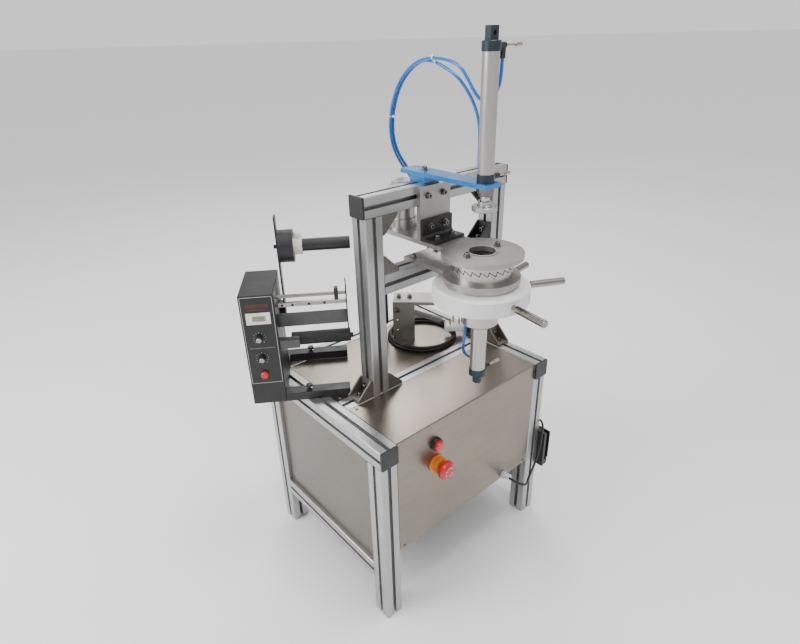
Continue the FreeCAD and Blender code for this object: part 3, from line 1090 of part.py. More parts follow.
def makeFeet():
    parts = []
    for i, at in enumerate(("0", "rearFootAt")):
        ends = ("caseWide", "caseWide + footLong")
        solid = slab(f"foot_blank_{i}", ends, (at, f"{at} + footSize"), ("0", "footHigh"))
        room = slab(f"foot_room_{i}", ends, (f"{at} + footSheet", f"{at} + 2*footSize"),
                    ("-1", "footHigh - footSheet"))
        parts.append(cut(f"label_foot_{i}", solid, [room]))
        parts.append(turned(f"thumb_screw_{i}", [
            ("0", "0"), ("5.5", "0"), ("5.5", "1.5"), ("2.5", "2"), ("2.5", "5"), ("6.5", "5.5"), ("6.5", "10"),
            ("0", "10.5")], "caseWide + footLong*0.36", f"{at} + footSize/2", "footHigh"))
    seat(node("label_feet", parts))


# ---------------------------------------------------------------- build and write
makeTable()
makeGantry()
makeEndCaps()
makeSkins()
gusset = makeGusset()
makeBrackets(gusset)
node("fasteners", [copies("bolt_set", makeBolt(), boltPlaces()),
                   copies("screw_set", makeScrew(), screwPlaces())])
makeHeadPlates()
makeToothRings()
makeLeaves()
makeHub()
makeHandRing()
makeEjector()
makePressCylinder()
makeArm()
makeFittings()
makePost()
makeTubes()
makePanelPieces()
makePedalCord()
makePedal()
makeMains()
makeStand()
makeDispenser()
doc.recompute()

broken = [item.Name for item in doc.Objects if "Invalid" in item.State or "Error" in item.State]
if broken:
    raise RuntimeError(f"these objects failed: {broken}")
for part in nodes:
    if part.Shape.isNull() or not part.Shape.isValid() or part.Shape.Volume <= 0:
        raise RuntimeError(f"{part.Label} has no valid shape")
os.makedirs("parts", exist_ok=True)
for part in nodes:
    part.Shape.exportStep(f"parts/{part.Label}.step")
print(len(nodes), "nodes written")
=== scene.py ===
import math

import bmesh
import bpy
from mathutils import Matrix, Quaternion, Vector


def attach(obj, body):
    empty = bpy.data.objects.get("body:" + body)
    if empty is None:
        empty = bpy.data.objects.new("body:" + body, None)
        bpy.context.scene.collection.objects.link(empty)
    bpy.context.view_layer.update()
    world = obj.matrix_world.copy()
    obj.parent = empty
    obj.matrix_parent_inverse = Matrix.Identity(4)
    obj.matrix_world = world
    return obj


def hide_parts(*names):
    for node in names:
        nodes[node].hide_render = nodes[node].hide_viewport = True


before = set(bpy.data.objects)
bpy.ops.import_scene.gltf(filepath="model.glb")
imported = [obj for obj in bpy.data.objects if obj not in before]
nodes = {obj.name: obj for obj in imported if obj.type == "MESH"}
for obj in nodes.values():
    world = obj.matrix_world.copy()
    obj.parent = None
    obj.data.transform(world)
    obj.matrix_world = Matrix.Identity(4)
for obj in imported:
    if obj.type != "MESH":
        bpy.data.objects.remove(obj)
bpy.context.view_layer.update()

# the machine's own frame: metres, origin on the floor between the legs, +X right, -Y front


def mm(x, y, z):
    return Vector((x, y, z))/1000


# camera, floor and light
shot = {
    "place": (-0.72026, -0.82987, 1.09988),
    "turn": (0.795132, 0.494502, -0.174301, -0.304718),
    "lens": 25.361,
    "sensor": 36.0,
    "farClip": 2000,
}
studio = {
    "floor": (0.93, 0.93, 0.93),
    "floorSize": 900,
    "floorRough": 0.75,
    "floorMottle": 0.985,
    "sky": 0.80,
    "skyBands": [(0.0, 1.25), (0.08, 1.15), (0.30, 0.35), (0.60, 1.10), (1.0, 1.70)],
    "lamps": [  # place, size, power, aim
        ((-2.6, 0.9, 1.9), 1.5, 75, (0, 0, 0.6)),
        ((-0.9, -2.6, 2.4), 1.0, 16, (0, 0, 0.5)),
        ((1.7, 2.2, 2.6), 1.2, 30, (0, 0, 0.6)),
        ((0.3, -0.5, 3.0), 0.8, 30, (0, 0, 0.5)),
    ],
}


def makeCamera():
    data = bpy.data.cameras.new("camera")
    data.lens = shot["lens"]
    data.sensor_width = shot["sensor"]
    data.clip_end = shot["farClip"]
    camera = bpy.data.objects.new("camera", data)
    camera.location = shot["place"]
    camera.rotation_mode = "QUATERNION"
    camera.rotation_quaternion = Quaternion(shot["turn"])
    bpy.context.scene.collection.objects.link(camera)
    bpy.context.scene.camera = camera


makeCamera()
print("camera ready")


# materials
noiseLow, noiseHigh = 0.3, 0.7  # where most of a noise's values lie


# short calls for wiring one material
class MaterialNodes:
    def __init__(self, name):
        self.material = bpy.data.materials.new(name)
        self.material.use_nodes = True
        self.tree = self.material.node_tree
        self.shader = self.tree.nodes["Principled BSDF"]

    def put(self, kind, **values):
        node = self.tree.nodes.new(kind)
        for key, value in values.items():
            setattr(node, key, value)
        return node

    def join(self, a, b):
        self.tree.links.new(a, b)

    def spot(self, stretch=(1, 1, 1)):
        coordinates = self.put("ShaderNodeTexCoord")
        mapping = self.put("ShaderNodeMapping")
        mapping.inputs["Scale"].default_value = stretch
        self.join(coordinates.outputs["Object"], mapping.inputs["Vector"])
        return mapping.outputs["Vector"]

    def noise(self, scale, detail=3, rough=0.55, stretch=(1, 1, 1)):
        noise = self.put("ShaderNodeTexNoise")
        noise.inputs["Scale"].default_value = scale
        noise.inputs["Detail"].default_value = detail
        noise.inputs["Roughness"].default_value = rough
        self.join(self.spot(stretch), noise.inputs["Vector"])
        return noise.outputs["Fac"]

    def ramp(self, factor, stops):
        ramp = self.put("ShaderNodeValToRGB")
        points = ramp.color_ramp.elements
        while len(points) < len(stops):
            points.new(0.5)
        for point, (at, colour) in zip(points, stops):
            point.position = at
            point.color = (*colour, 1)
        self.join(factor, ramp.inputs["Fac"])
        return ramp.outputs["Color"]

    # spread a noise over a range of values
    def span(self, factor, low, high):
        reach = self.put("ShaderNodeMapRange")
        reach.inputs["To Min"].default_value = low
        reach.inputs["To Max"].default_value = high
        reach.inputs["From Min"].default_value = noiseLow
        reach.inputs["From Max"].default_value = noiseHigh
        self.join(factor, reach.inputs["Value"])
        return reach.outputs["Result"]

    def bump(self, factor, strength, depth):
        bump = self.put("ShaderNodeBump")
        bump.inputs["Strength"].default_value = strength
        bump.inputs["Distance"].default_value = depth
        self.join(factor, bump.inputs["Height"])
        self.join(bump.outputs["Normal"], self.shader.inputs["Normal"])


# a painted, moulded or machined finish: mottled colour, uneven gloss and a fine grain
def finish(name, colour, metal=0.0, rough=0.4, spread=0.06, tint=0.08, grain=(1, 1, 1), grainScale=60,
           bumpScale=400, bumpDepth=0.00005, bumpStrength=0.3, lacquer=0.0, extra=None):
    work = MaterialNodes(name)
    shader = work.shader
    shader.inputs["Metallic"].default_value = metal
    shader.inputs["Coat Weight"].default_value = lacquer
    mottle = work.noise(grainScale, 4, 0.6, grain)
    low = tuple(max(0.0, c*(1 - tint)) for c in colour)
    high = tuple(min(1.0, c*(1 + tint)) for c in colour)
    work.join(work.ramp(mottle, [(noiseLow, low), (noiseHigh, high)]), shader.inputs["Base Color"])
    work.join(work.span(work.noise(grainScale*0.6, 5, 0.6, grain), rough - spread, rough + spread),
              shader.inputs["Roughness"])
    work.bump(work.noise(bumpScale, 2, 0.5, grain), bumpStrength, bumpDepth)
    for key, value in (extra or {}).items():
        shader.inputs[key].default_value = value
    return work.material


alongX, alongY, alongZ = (0.03, 1, 1), (1, 0.03, 1), (1, 1, 0.03)
looks = {
    "profileX": finish("profileX", (0.42, 0.42, 0.42), 0.9, 0.36, 0.06, 0.05, alongX, 150, 1500, 0.00004),
    "profileY": finish("profileY", (0.42, 0.42, 0.42), 0.9, 0.36, 0.06, 0.05, alongY, 150, 1500, 0.00004),
    "profileZ": finish("profileZ", (0.44, 0.44, 0.44), 0.9, 0.36, 0.06, 0.05, alongZ, 150, 1500, 0.00004),
    "machined": finish("machinedPlate", (0.37, 0.355, 0.34), 0.9, 0.40, 0.07, 0.04, (1, 1, 1), 40, 900, 0.00004),
    "turnedAlu": finish("turnedAluminium", (0.46, 0.445, 0.43), 0.95, 0.26, 0.08, 0.05, (1, 1, 30), 30, 60,
                        0.00003),
    "barrel": finish("cylinderBarrel", (0.45, 0.44, 0.43), 0.92, 0.32, 0.05, 0.04, alongZ, 120, 900, 0.00003),
    "cast": finish("tumbledCasting", (0.17, 0.155, 0.14), 0.75, 0.48, 0.08, 0.10, (1, 1, 1), 90, 500, 0.00012),
    "steel": finish("polishedSteel", (0.32, 0.30, 0.28), 1.0, 0.22, 0.07, 0.06, (1, 1, 1), 50, 500, 0.00003),
    "chrome": finish("hardChrome", (0.66, 0.66, 0.67), 1.0, 0.10, 0.03, 0.03, alongZ, 60, 700, 0.00001),
    "zinc": finish("zincBolt", (0.22, 0.20, 0.18), 1.0, 0.30, 0.08, 0.12, (1, 1, 1), 200, 900, 0.00004),
    "blackPaint": finish("blackPowderCoat", (0.010, 0.010, 0.011), 0.0, 0.44, 0.08, 0.15, (1, 1, 1), 60, 1300,
                         0.00008),
    "blackPlastic": finish("blackPlastic", (0.013, 0.013, 0.015), 0.0, 0.46, 0.08, 0.15, (1, 1, 1), 50, 1500,
                           0.00005),
    "darkCap": finish("darkCylinderCap", (0.020, 0.030, 0.042), 0.35, 0.40, 0.06, 0.15, (1, 1, 1), 80, 900,
                      0.00006),
    "blueFilm": finish("blueFilm", (0.004, 0.165, 0.46), 0.1, 0.22, 0.10, 0.12, (1, 0.5, 1), 45, 70, 0.0004,
                       0.5, 0.5),
    "whitePlastic": finish("whiteNylon", (0.74, 0.74, 0.73), 0.0, 0.42, 0.06, 0.02, (1, 1, 1), 30, 700, 0.00004),
    "blueTube": finish("blueAirTube", (0.002, 0.135, 0.47), 0.0, 0.24, 0.05, 0.08, (1, 1, 1), 30, 400, 0.00002,
                       0.2, 0.3),
    "cordBlack": finish("cordJacket", (0.010, 0.009, 0.008), 0.0, 0.44, 0.07, 0.15, (1, 1, 1), 60, 900, 0.00005),
    "redGloss": finish("redPlastic", (0.50, 0.008, 0.018), 0.0, 0.28, 0.05, 0.08, (1, 1, 1), 60, 600, 0.00002,
                       0.2, 0.2),
    "redLens": finish("redLens", (0.55, 0.005, 0.02), 0.0, 0.15, 0.04, 0.12, (1, 1, 1), 200, 500, 0.0002, 0.4,
                      0.4),
    "orange": finish("orangeCollar", (0.72, 0.20, 0.015), 0.0, 0.40, 0.05, 0.06, (1, 1, 1), 50, 700, 0.00004),
    "greyPlastic": finish("greyNylon", (0.50, 0.52, 0.54), 0.0, 0.42, 0.06, 0.06, (1, 1, 1), 50, 800, 0.00004),
    "brass": finish("turnedBrass", (0.66, 0.47, 0.20), 1.0, 0.26, 0.06, 0.08, (1, 1, 1), 80, 600, 0.00003),
    "needle": finish("needleScrew", (0.50, 0.44, 0.36), 1.0, 0.28, 0.07, 0.10, (1, 1, 1), 150, 600, 0.00003),
    "shade": finish("unlitGap", (0.012, 0.012, 0.012), 0.0, 0.7, 0.05, 0.2, (1, 1, 1), 90, 700, 0.00003),
    "ivory": finish("ivoryPlastic", (0.78, 0.74, 0.66), 0.0, 0.38, 0.06, 0.05, (1, 1, 1), 60, 700, 0.00004),
    "greyPaint": finish("greyPlate", (0.085, 0.085, 0.085), 0.5, 0.42, 0.07, 0.10, (1, 1, 1), 60, 900, 0.00004),
    "rubber": finish("rubberSleeve", (0.009, 0.009, 0.009), 0.0, 0.62, 0.07, 0.2, (1, 1, 1), 90, 700, 0.00008),
    "plugWhite": finish("plugPlastic", (0.84, 0.85, 0.80), 0.0, 0.24, 0.05, 0.03, (1, 1, 1), 50, 500, 0.00003,
                        0.2, 0.2, {"Subsurface Weight": 0.1}),
    "tie": finish("clearTie", (0.78, 0.80, 0.82), 0.0, 0.30, 0.05, 0.03, (1, 1, 1), 90, 900, 0.00003),
    "panelInk": finish("panelOverlay", (0.007, 0.007, 0.008), 0.0, 0.34, 0.06, 0.2, (1, 1, 1), 60, 1400,
                       0.00004),
    "border": finish("overlayLine", (0.42, 0.42, 0.42), 0.0, 0.4, 0.05, 0.06, (1, 1, 1), 90, 800, 0.00002),
    "redStrip": finish("overlayRed", (0.10, 0.010, 0.013), 0.0, 0.4, 0.05, 0.2, (1, 1, 1), 400, 800, 0.00002),
    "screen": finish("counterScreen", (0.30, 0.29, 0.24), 0.0, 0.20, 0.05, 0.08, (1, 1, 1), 60, 700, 0.00001,
                     0.1, 0.5),
    "digit": finish("counterDigit", (0.05, 0.05, 0.045), 0.0, 0.35, 0.05, 0.1, (1, 1, 1), 90, 700, 0.00001),
}


# stainless sheet: long brush lines, cloudy warm patches and faint rubbed marks
sheetLook = {
    "brushLines": 420, "clouds": 5, "brushShare": 0.35, "warmPatch": 0.80, "lineDark": 0.72, "lineBright": 1.15,
    "rough": (0.27, 0.37), "grain": 0.35, "grainDeep": 0.00005,
}


def brushedSheet(name, grain, colour):
    work = MaterialNodes(name)
    shader = work.shader
    shader.inputs["Metallic"].default_value = 1.0
    lines = work.noise(sheetLook["brushLines"], 3, 0.7, grain)
    clouds = work.noise(sheetLook["clouds"], 4, 0.6)
    mix = work.put("ShaderNodeMix", data_type="RGBA")
    mix.inputs["Factor"].default_value = sheetLook["brushShare"]
    warm = tuple(c*sheetLook["warmPatch"] for c in colour)
    dark = tuple(c*sheetLook["lineDark"] for c in colour)
    bright = tuple(min(1, c*sheetLook["lineBright"]) for c in colour)
    work.join(work.ramp(clouds, [(0.35, warm), (0.65, colour)]), mix.inputs["A"])
    work.join(work.ramp(lines, [(noiseLow, dark), (noiseHigh, bright)]), mix.inputs["B"])
    work.join(mix.outputs["Result"], shader.inputs["Base Color"])
    work.join(work.span(clouds, *sheetLook["rough"]), shader.inputs["Roughness"])
    work.bump(lines, sheetLook["grain"], sheetLook["grainDeep"])
    return work.material


looks["sheetX"] = brushedSheet("brushedSheetX", (0.02, 1, 1), (0.28, 0.245, 0.205))
# side panels' sheet: brushed along Y, real grain, and coloured darker than the front's sheet as a painted shade
looks["sheetYShaded"] = brushedSheet("brushedSheetYShaded", (1, 0.02, 1), (0.21, 0.19, 0.17))


def coat(node, look):
    mesh = nodes[node].data
    mesh.materials.clear()
    mesh.materials.append(looks[look])
    for face in mesh.polygons:
        face.material_index = 0


# a second finish on the faces of a CAD node whose centres, in mm, pass the test
def coatWhere(node, look, test):
    mesh = nodes[node].data
    mesh.materials.append(looks[look])
    index = len(mesh.materials) - 1
    for face in mesh.polygons:
        if test(face.center*1000):
            face.material_index = index


plainCoats = {
    "legs": "profileZ", "uprights": "profileZ", "table_beams": "profileX", "lower_rails": "profileY",
    "gantry_beams": "profileX", "end_caps": "blackPlastic", "front_panel": "sheetX", "inset_panels": "sheetYShaded",
    "rear_top_plate": "sheetX", "fasteners": "zinc", "corner_brackets": "cast", "black_brackets": "blackPaint",
    "hanger_plate": "machined", "upper_head_plate": "machined", "lower_head_plate": "machined",
    "upper_tooth_ring": "turnedAlu", "lower_tooth_ring": "turnedAlu", "ring_hub": "turnedAlu",
    "ejector_tube": "barrel", "ejector_cap": "darkCap", "ejector_rod": "steel", "press_tube": "barrel",
    "press_caps": "darkCap", "press_rod": "chrome", "press_pad": "turnedAlu", "arm_plate": "blueFilm",
    "arm_spacer": "blueFilm", "speed_controllers": "blackPlastic", "rear_post": "barrel",
    "flow_valve": "blackPlastic", "rear_bracket": "machined", "power_lamp": "redLens", "stop_collar": "orange",
    "stop_button": "redGloss", "cable_glands": "greyPlastic", "pedal_base": "blackPlastic",
    "pedal_treadle": "blackPaint", "hand_ring": "whitePlastic", "ring_handles": "steel",
    "label_case": "blackPaint", "speed_knob": "blackPlastic", "delay_knob": "blackPlastic",
    "feed_button": "redGloss", "supply_arm": "blackPaint", "roll_spindle": "blackPlastic",
    "label_guides": "steel", "feed_roller": "rubber", "label_feet": "blackPaint",
    "mains_coil": "cordBlack", "mains_plug": "plugWhite", "air_tube_upper": "blueTube",
    "air_tube_lower": "blueTube", "air_tube_ejector": "blueTube", "pedal_cord": "cordBlack",
}
for name, look in plainCoats.items():
    coat(name, look)
for i in range(6):
    coat(f"pleat_leaf_{i + 1}", "steel")

# the dispenser's own frame: along, back and up from its front left foot
dispenser = Matrix.Translation(mm(-332.5, 89, 443)) @ Matrix.Rotation(math.radians(-34), 4, "Z")
intoDispenser = dispenser.inverted()


def local(centre):
    return (intoDispenser @ (centre/1000))*1000


# where one finish of a node ends and the next begins, in mm
seams = {
    "front": -204, "rearPlate": 442, "sideBeams": 204.01, "crossRails": 203.9, "pressNut": 867, "lampLens": 8.3,
    "needlesRight": 56.3, "plateFitting": (470, 100), "rearGland": 400, "guidePlate": 180.5, "endPlate": 199.9,
    "thumbScrews": (18.1, 23), "knobCap": -11.5,
}
rollCollar = {"from": 107.2, "to": 124.4, "axis": (96, 298), "shaft": 12.8}
barClamp = {"from": 177, "to": 187, "above": 202.5}
toothGaps = {"axis": (24, -191), "inner": 50, "outer": 56.8, "low": 716, "high": 738}


def onCollar(c):
    at = local(c)
    back, up = rollCollar["axis"]
    return (rollCollar["from"] < at.x < rollCollar["to"] and
            math.hypot(at.y - back, at.z - up) > rollCollar["shaft"])


def onDarkGuide(c):
    at = local(c)
    return at.x > seams["endPlate"] or barClamp["from"] < at.x < barClamp["to"] and at.z > barClamp["above"]


def inToothGap(c):
    x, y = toothGaps["axis"]
    return (toothGaps["inner"] < math.hypot(c.x - x, c.y - y) < toothGaps["outer"] and
            toothGaps["low"] < c.z < toothGaps["high"])


coatWhere("table_beams", "profileY", lambda c: abs(c.x) > seams["sideBeams"])
coatWhere("lower_rails", "profileX", lambda c: abs(c.x) < seams["crossRails"])
coatWhere("press_caps", "zinc", lambda c: c.z < seams["pressNut"])
coatWhere("power_lamp", "blackPlastic", lambda c: c.y > seams["front"] - seams["lampLens"])
coatWhere("speed_controllers", "needle", lambda c: c.x > seams["needlesRight"])
coatWhere("speed_controllers", "needle",
          lambda c: c.z < seams["plateFitting"][0] and c.y > seams["plateFitting"][1])
coatWhere("cable_glands", "rubber", lambda c: c.z > seams["rearGland"])
coatWhere("roll_spindle", "ivory", onCollar)
coatWhere("label_guides", "greyPaint", lambda c: local(c).z < seams["guidePlate"])
coatWhere("label_guides", "blackPaint", onDarkGuide)
coatWhere("label_feet", "steel", lambda c: seams["thumbScrews"][0] < local(c).z < seams["thumbScrews"][1])
for knob in ("speed_knob", "delay_knob"):
    coatWhere(knob, "steel", lambda c: local(c).y < seams["knobCap"])
# painted shade: near black on the rings' inner wall and on the flanks of the gaps between the teeth
for ring in ("upper_tooth_ring", "lower_tooth_ring"):
    coatWhere(ring, "shade", inToothGap)
print("finishes on the frame ready")


# curves and meshes
# a mesh made in its own millimetre frame, put in place and hung on a body
def meshPiece(name, build, look, body, place):
    work = bmesh.new()
    build(work)
    mesh = bpy.data.meshes.new(name)
    work.to_mesh(mesh)
    work.free()
    mesh.transform(place @ Matrix.Scale(0.001, 4))
    piece = bpy.data.objects.new(name, mesh)
    bpy.context.scene.collection.objects.link(piece)
    mesh.materials.append(looks[look])
    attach(piece, body)
    return piece


# turn (radius, height) points about Z
def lathe(work, profile, steps):
    rings = []
    for i in range(steps):
        a = 2*math.pi*i/steps
        rings.append([work.verts.new((r*math.cos(a), r*math.sin(a), z)) for r, z in profile])
    for i in range(steps):
        first, second = rings[i], rings[(i + 1) % steps]
        for j in range(len(profile) - 1):
            work.faces.new((first[j], second[j], second[j + 1], first[j + 1]))
    bmesh.ops.remove_doubles(work, verts=work.verts, dist=0.0005)
    bmesh.ops.recalc_face_normals(work, faces=work.faces)


# a box between two corners with its edges rounded
def block(work, low, high, soft=0.0, steps=2):
    made = bmesh.ops.create_cube(work, size=1)["verts"]
    size = [b - a for a, b in zip(low, high)]
    middle = [(a + b)/2 for a, b in zip(low, high)]
    for vert in made:
        vert.co = Vector([c*s + m for c, s, m in zip(vert.co, size, middle)])
    if soft:
        edges = {edge for vert in made for edge in vert.link_edges}
        bmesh.ops.bevel(work, geom=list(edges), offset=soft, segments=steps, affect="EDGES", profile=0.5)


# build a part of the mesh, then move that part alone
def buildAt(work, move, build):
    before = set(work.verts)
    build()
    bmesh.ops.transform(work, matrix=move, verts=[vert for vert in work.verts if vert not in before])


def smooth(piece, angle):
    piece.data.polygons.foreach_set("use_smooth", [True]*len(piece.data.polygons))
    piece.data.set_sharp_from_angle(angle=math.radians(angle))
    return piece


# cords
def cordPiece(name, points, radius, look):
    data = bpy.data.curves.new(name, "CURVE")
    data.dimensions = "3D"
    data.bevel_depth = radius/1000
    data.bevel_resolution = 5
    data.resolution_u = 8
    data.use_fill_caps = True
    spline = data.splines.new("NURBS")
    spline.points.add(len(points) - 1)
    for point, at in zip(spline.points, points):
        point.co = (*mm(*at), 1)
    spline.order_u = 3
    spline.use_endpoint_u = True
    piece = bpy.data.objects.new(name, data)
    bpy.context.scene.collection.objects.link(piece)
    data.materials.append(looks[look])
    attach(piece, "root")
    return piece


# a second route next to the first, square to each run towards +X
def beside(points, gap):
    moved = []
    for before, at, after in zip(points, points[1:], points[2:]):
        run = (Vector(after) - Vector(before)).normalized()
        side = (Vector((1, 0, 0)) - run*run.x).normalized()
        moved.append(tuple(Vector(at) + side*gap))
    return moved


airTubes = {
    "diameter": 6.0,
    "gap": 7.0,
    "loop": [(20, -128, 1058), (20, -90, 1068), (20, -46, 1068), (21, -6, 1054), (24, 32, 1024), (28, 57, 984),
             (34, 72, 944), (44, 79, 908), (60, 80, 876), (84, 80, 846), (112, 80, 812), (138, 81, 768),
             (151, 82, 716), (153, 84, 668), (144, 88, 626), (124, 95, 594)],
    "fromTop": [(51.5, -191, 1066.75), (51.5, -191, 1044.75), (50, -188, 1022), (44, -178, 1004),
                (35, -165, 1003), (29, -153, 1018), (25, -142, 1038)],
    "toValve": [(102, 107, 578), (83, 121, 577), (68, 135, 581), (61, 145, 572), (61, 145, 548)],
    "fromLow": [(51.5, -172, 882.25), (51.5, -157, 882.25), (54, -148, 889), (58, -144, 905), (60, -143, 930),
                (59, -142, 960), (53, -137, 990), (42, -125, 1020), (31, -106, 1045)],
    "toPlate": [(112, 115, 569), (92, 138, 566), (70, 157, 562), (51, 158, 541), (44, 147, 514),
                (45, 135, 488), (45, 135, 456)],
    "ejector": [(53, -172, 497.5), (53, -157, 497.5), (45, -149, 504), (32, -148, 516), (20, -154, 533),
                (14, -161, 554), (15, -162, 576), (22, -157, 595), (33, -149, 611), (41, -138, 626),
                (44, -122, 638), (44.5, -105, 649), (45, -89, 665), (45, -83, 669), (45, -75, 669)],
}
routes = {
    "upperAirTube": (airTubes["fromTop"] + airTubes["loop"] + airTubes["toValve"], "air_tube_upper", 0.910),
    "lowerAirTube": (airTubes["fromLow"] + beside(airTubes["loop"][1:], airTubes["gap"]) + airTubes["toPlate"],
                     "air_tube_lower", 1.037),
    "ejectorAirTube": (airTubes["ejector"], "air_tube_ejector", 0.250),
}
for name, (points, node, length) in routes.items():
    tube = cordPiece(name, points, airTubes["diameter"]/2, "blueTube")
    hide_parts(node)

pedalCord = {
    "diameter": 5.2,
    "length": 0.284,
    "route": [(117, -223, 179), (117, -236, 179), (122, -248, 175.5), (135, -254, 168), (151, -249, 159),
              (168, -239, 152), (186, -231, 150), (203, -226, 157), (217, -223.5, 172), (227, -222, 193),
              (234, -220.5, 214), (238, -219.5, 233), (240, -219, 250), (245, -214, 263),
              (250.5, -203.5, 267), (254.2, -193.5, 262), (255.2, -189, 251), (255.2, -189, 238)],
}
cord = cordPiece("footSwitchCord", pedalCord["route"], pedalCord["diameter"]/2, "cordBlack")
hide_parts("pedal_cord")

mains = {
    "diameter": 6.5,
    "centre": (115, 70),
    "exitAngle": 60,
    "exitRadius": 80,
    "turns": [(79.6, 445.6), (84.2, 445.8), (76.4, 445.7), (78.8, 452.2), (83.4, 452.4)],  # radius, height
    "pointsPerTurn": 14,
    "skipped": 2,  # points left out while the cord rises from the plate
    "sunk": (3, 1.0),  # up to this point it lies this much lower
    "length": 1.95,
}


def coilRoute():
    cx, cy = mains["centre"]
    start = math.radians(mains["exitAngle"])
    points = [(cx + mains["exitRadius"]*math.cos(start), cy + mains["exitRadius"]*math.sin(start),
               seams["rearPlate"])]
    count = mains["pointsPerTurn"]
    rings = mains["turns"]
    for i in range(mains["skipped"], count*(len(rings) - 1) + 1):
        at = i/count
        ring = int(at)
        part = at - ring
        after = rings[min(ring + 1, len(rings) - 1)]
        blend = part*part*(3 - 2*part)
        radius = rings[ring][0]*(1 - blend) + after[0]*blend
        height = rings[ring][1]*(1 - blend) + after[1]*blend
        angle = start + 2*math.pi*at
        sunk = mains["sunk"][1] if i <= mains["sunk"][0] else 0
        points.append((cx + radius*math.cos(angle), cy + radius*math.sin(angle), height - sunk))
    return points


print("cords laid")

# mains plug: a moulded three pin plug lying on the coil, pins up
plug = {
    "place": (176, 20), "low": 456, "turn": -35, "width": 44, "depth": 35, "height": 18, "ribs": 4,
    "ribStep": 2.6,
    "pinHigh": 17, "pinHalf": (2, 3.1), "pins": [(-11, -6), (11, -6), (0, 9)],
}
plugTurn = Matrix.Rotation(math.radians(plug["turn"]), 4, "Z")
plugFrame = Matrix.Translation(mm(*plug["place"], plug["low"])) @ plugTurn


def buildPlugBody(work):
    half, deep = plug["width"]/2, plug["depth"]/2*0.8
    block(work, (-half, -deep, 1.5), (half, deep*1.1, plug["height"] - 1), 3.0, 3)
    block(work, (-half*0.92, -deep*0.9, plug["height"] - 2), (half*0.92, deep*1.0, plug["height"]), 0.8)
    for i in range(plug["ribs"]):
        z = 4 + i*plug["ribStep"]
        block(work, (-half - 0.6, -8, z), (-half + 1, 8, z + 1.2), 0.4)
        block(work, (half - 1, -8, z), (half + 0.6, 8, z + 1.2), 0.4)


def buildPlugPins(work):
    top = plug["height"]
    w, d = plug["pinHalf"]
    for x, y in plug["pins"]:
        block(work, (x - w, y - d, top - 1), (x + w, y + d, top + plug["pinHigh"]), 0.7)


plugBody = smooth(meshPiece("mainsPlugBody", buildPlugBody, "plugWhite", "root", plugFrame), 35)
plugPins = meshPiece("mainsPlugPins", buildPlugPins, "brass", "root", plugFrame)
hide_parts("mains_plug")
coilPoints = coilRoute()
mainsCord = cordPiece("mainsCord", coilPoints, mains["diameter"]/2, "cordBlack")
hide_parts("mains_coil")
print("mains cord coiled")

# cable ties on the air tubes: a flat loop round both tubes, its lock and a cut tail
tie = {
    "wide": 2.6, "thick": 1.1, "radius": 3.4, "steps": 24,
    "places": [((23.5, -66, 1069), (0, 1, 0)), ((34, 66, 965), (0.15, 0.35, -0.92))],  # centre, way along
}


def buildTie(work):
    wide, thick, radius, steps = tie["wide"], tie["thick"], tie["radius"], tie["steps"]
    section = ((0, -wide/2), (thick, -wide/2), (thick, wide/2), (0, wide/2))
    rings = []
    for i in range(steps):
        a = 2*math.pi*i/steps
        side = airTubes["gap"]/2 if math.cos(a) >= 0 else -airTubes["gap"]/2
        rings.append([work.verts.new(((radius + out)*math.cos(a) + side, (radius + out)*math.sin(a), z))
                      for out, z in section])
    for i, ring in enumerate(rings):
        after = rings[(i + 1) % steps]
        for j in range(4):
            work.faces.new((ring[j], after[j], after[(j + 1) % 4], ring[(j + 1) % 4]))
    block(work, (-2.2, radius, -2.2), (2.2, radius + 3.4, 2.2), 0.5)  # lock
    block(work, (-0.9, radius + 2.4, -1.1), (0.9, radius + 9, 1.1), 0.3)  # cut tail
    bmesh.ops.recalc_face_normals(work, faces=work.faces)


for i, (at, along) in enumerate(tie["places"]):
    axis = Vector(along).normalized()
    across = (Vector((1, 0, 0)) - axis*axis.x).normalized()
    frameOf = Matrix((across, axis.cross(across), axis)).transposed().to_4x4()
    loop = meshPiece(f"tubeTie{i + 1}", buildTie, "tie", "root", Matrix.Translation(mm(*at)) @ frameOf)
print("ties fitted")

# the dispenser's face: an overlay with a thin border, a counter, dial marks and a strip
face = {
    "left": 3, "right": 63, "low": 48, "high": 235, "line": 0.9, "skin": 0.35,
    "window": (10.5, 179, 56, 202.5), "screen": (22, 184.5, 47, 196.5),
    "windowOut": 2.2, "screenOut": 1.2, "proud": 0.12, "sunk": 0.1,
    "strip": (12, 213, 52, 221), "stripBars": 16, "stripStep": 2.6, "stripBar": 1.7, "rule": (9, 57, 127, 0.4),
    "dials": (149, 105), "dialAt": 30, "dialMarks": 11, "dialFrom": -140, "dialStep": 28,
}


# thin flat bars on the case's front, each given as left, low, right, high
def facePlate(name, look, boxes, out, back=0.0, soft=0.12):
    def build(work):
        for x0, z0, x1, z1 in boxes:
            block(work, (x0, -out, z0), (x1, -back, z1), soft, 1)
    piece = meshPiece(name, build, look, "root", dispenser)
    return piece


def borderBars():
    x0, x1, z0, z1, w = face["left"], face["right"], face["low"], face["high"], face["line"]
    return [(x0, z0, x1, z0 + w), (x0, z1 - w, x1, z1), (x0, z0, x0 + w, z1), (x1 - w, z0, x1, z1)]


# a row of plain uneven bars
def stripBars():
    x0, z0, x1, z1 = face["strip"]
    lefts = [x0 + i*face["stripStep"] for i in range(face["stripBars"])]
    return [(left, z0 + (i % 3)*0.6, left + face["stripBar"], z1 - (i % 2)*0.8) for i, left in enumerate(lefts)]


def stripLine():
    x0, z0, x1, z1 = face["strip"]
    return [(x0, z0 - 5, x1 - 6, z0 - 3.4)]


def overlaySheet():
    return [(face["left"] + 0.5, face["low"] + 0.5, face["right"] - 0.5, face["high"] - 0.5)]


def ruleLine():
    x0, x1, z, thick = face["rule"]
    return [(x0, z, x1, z + thick)]


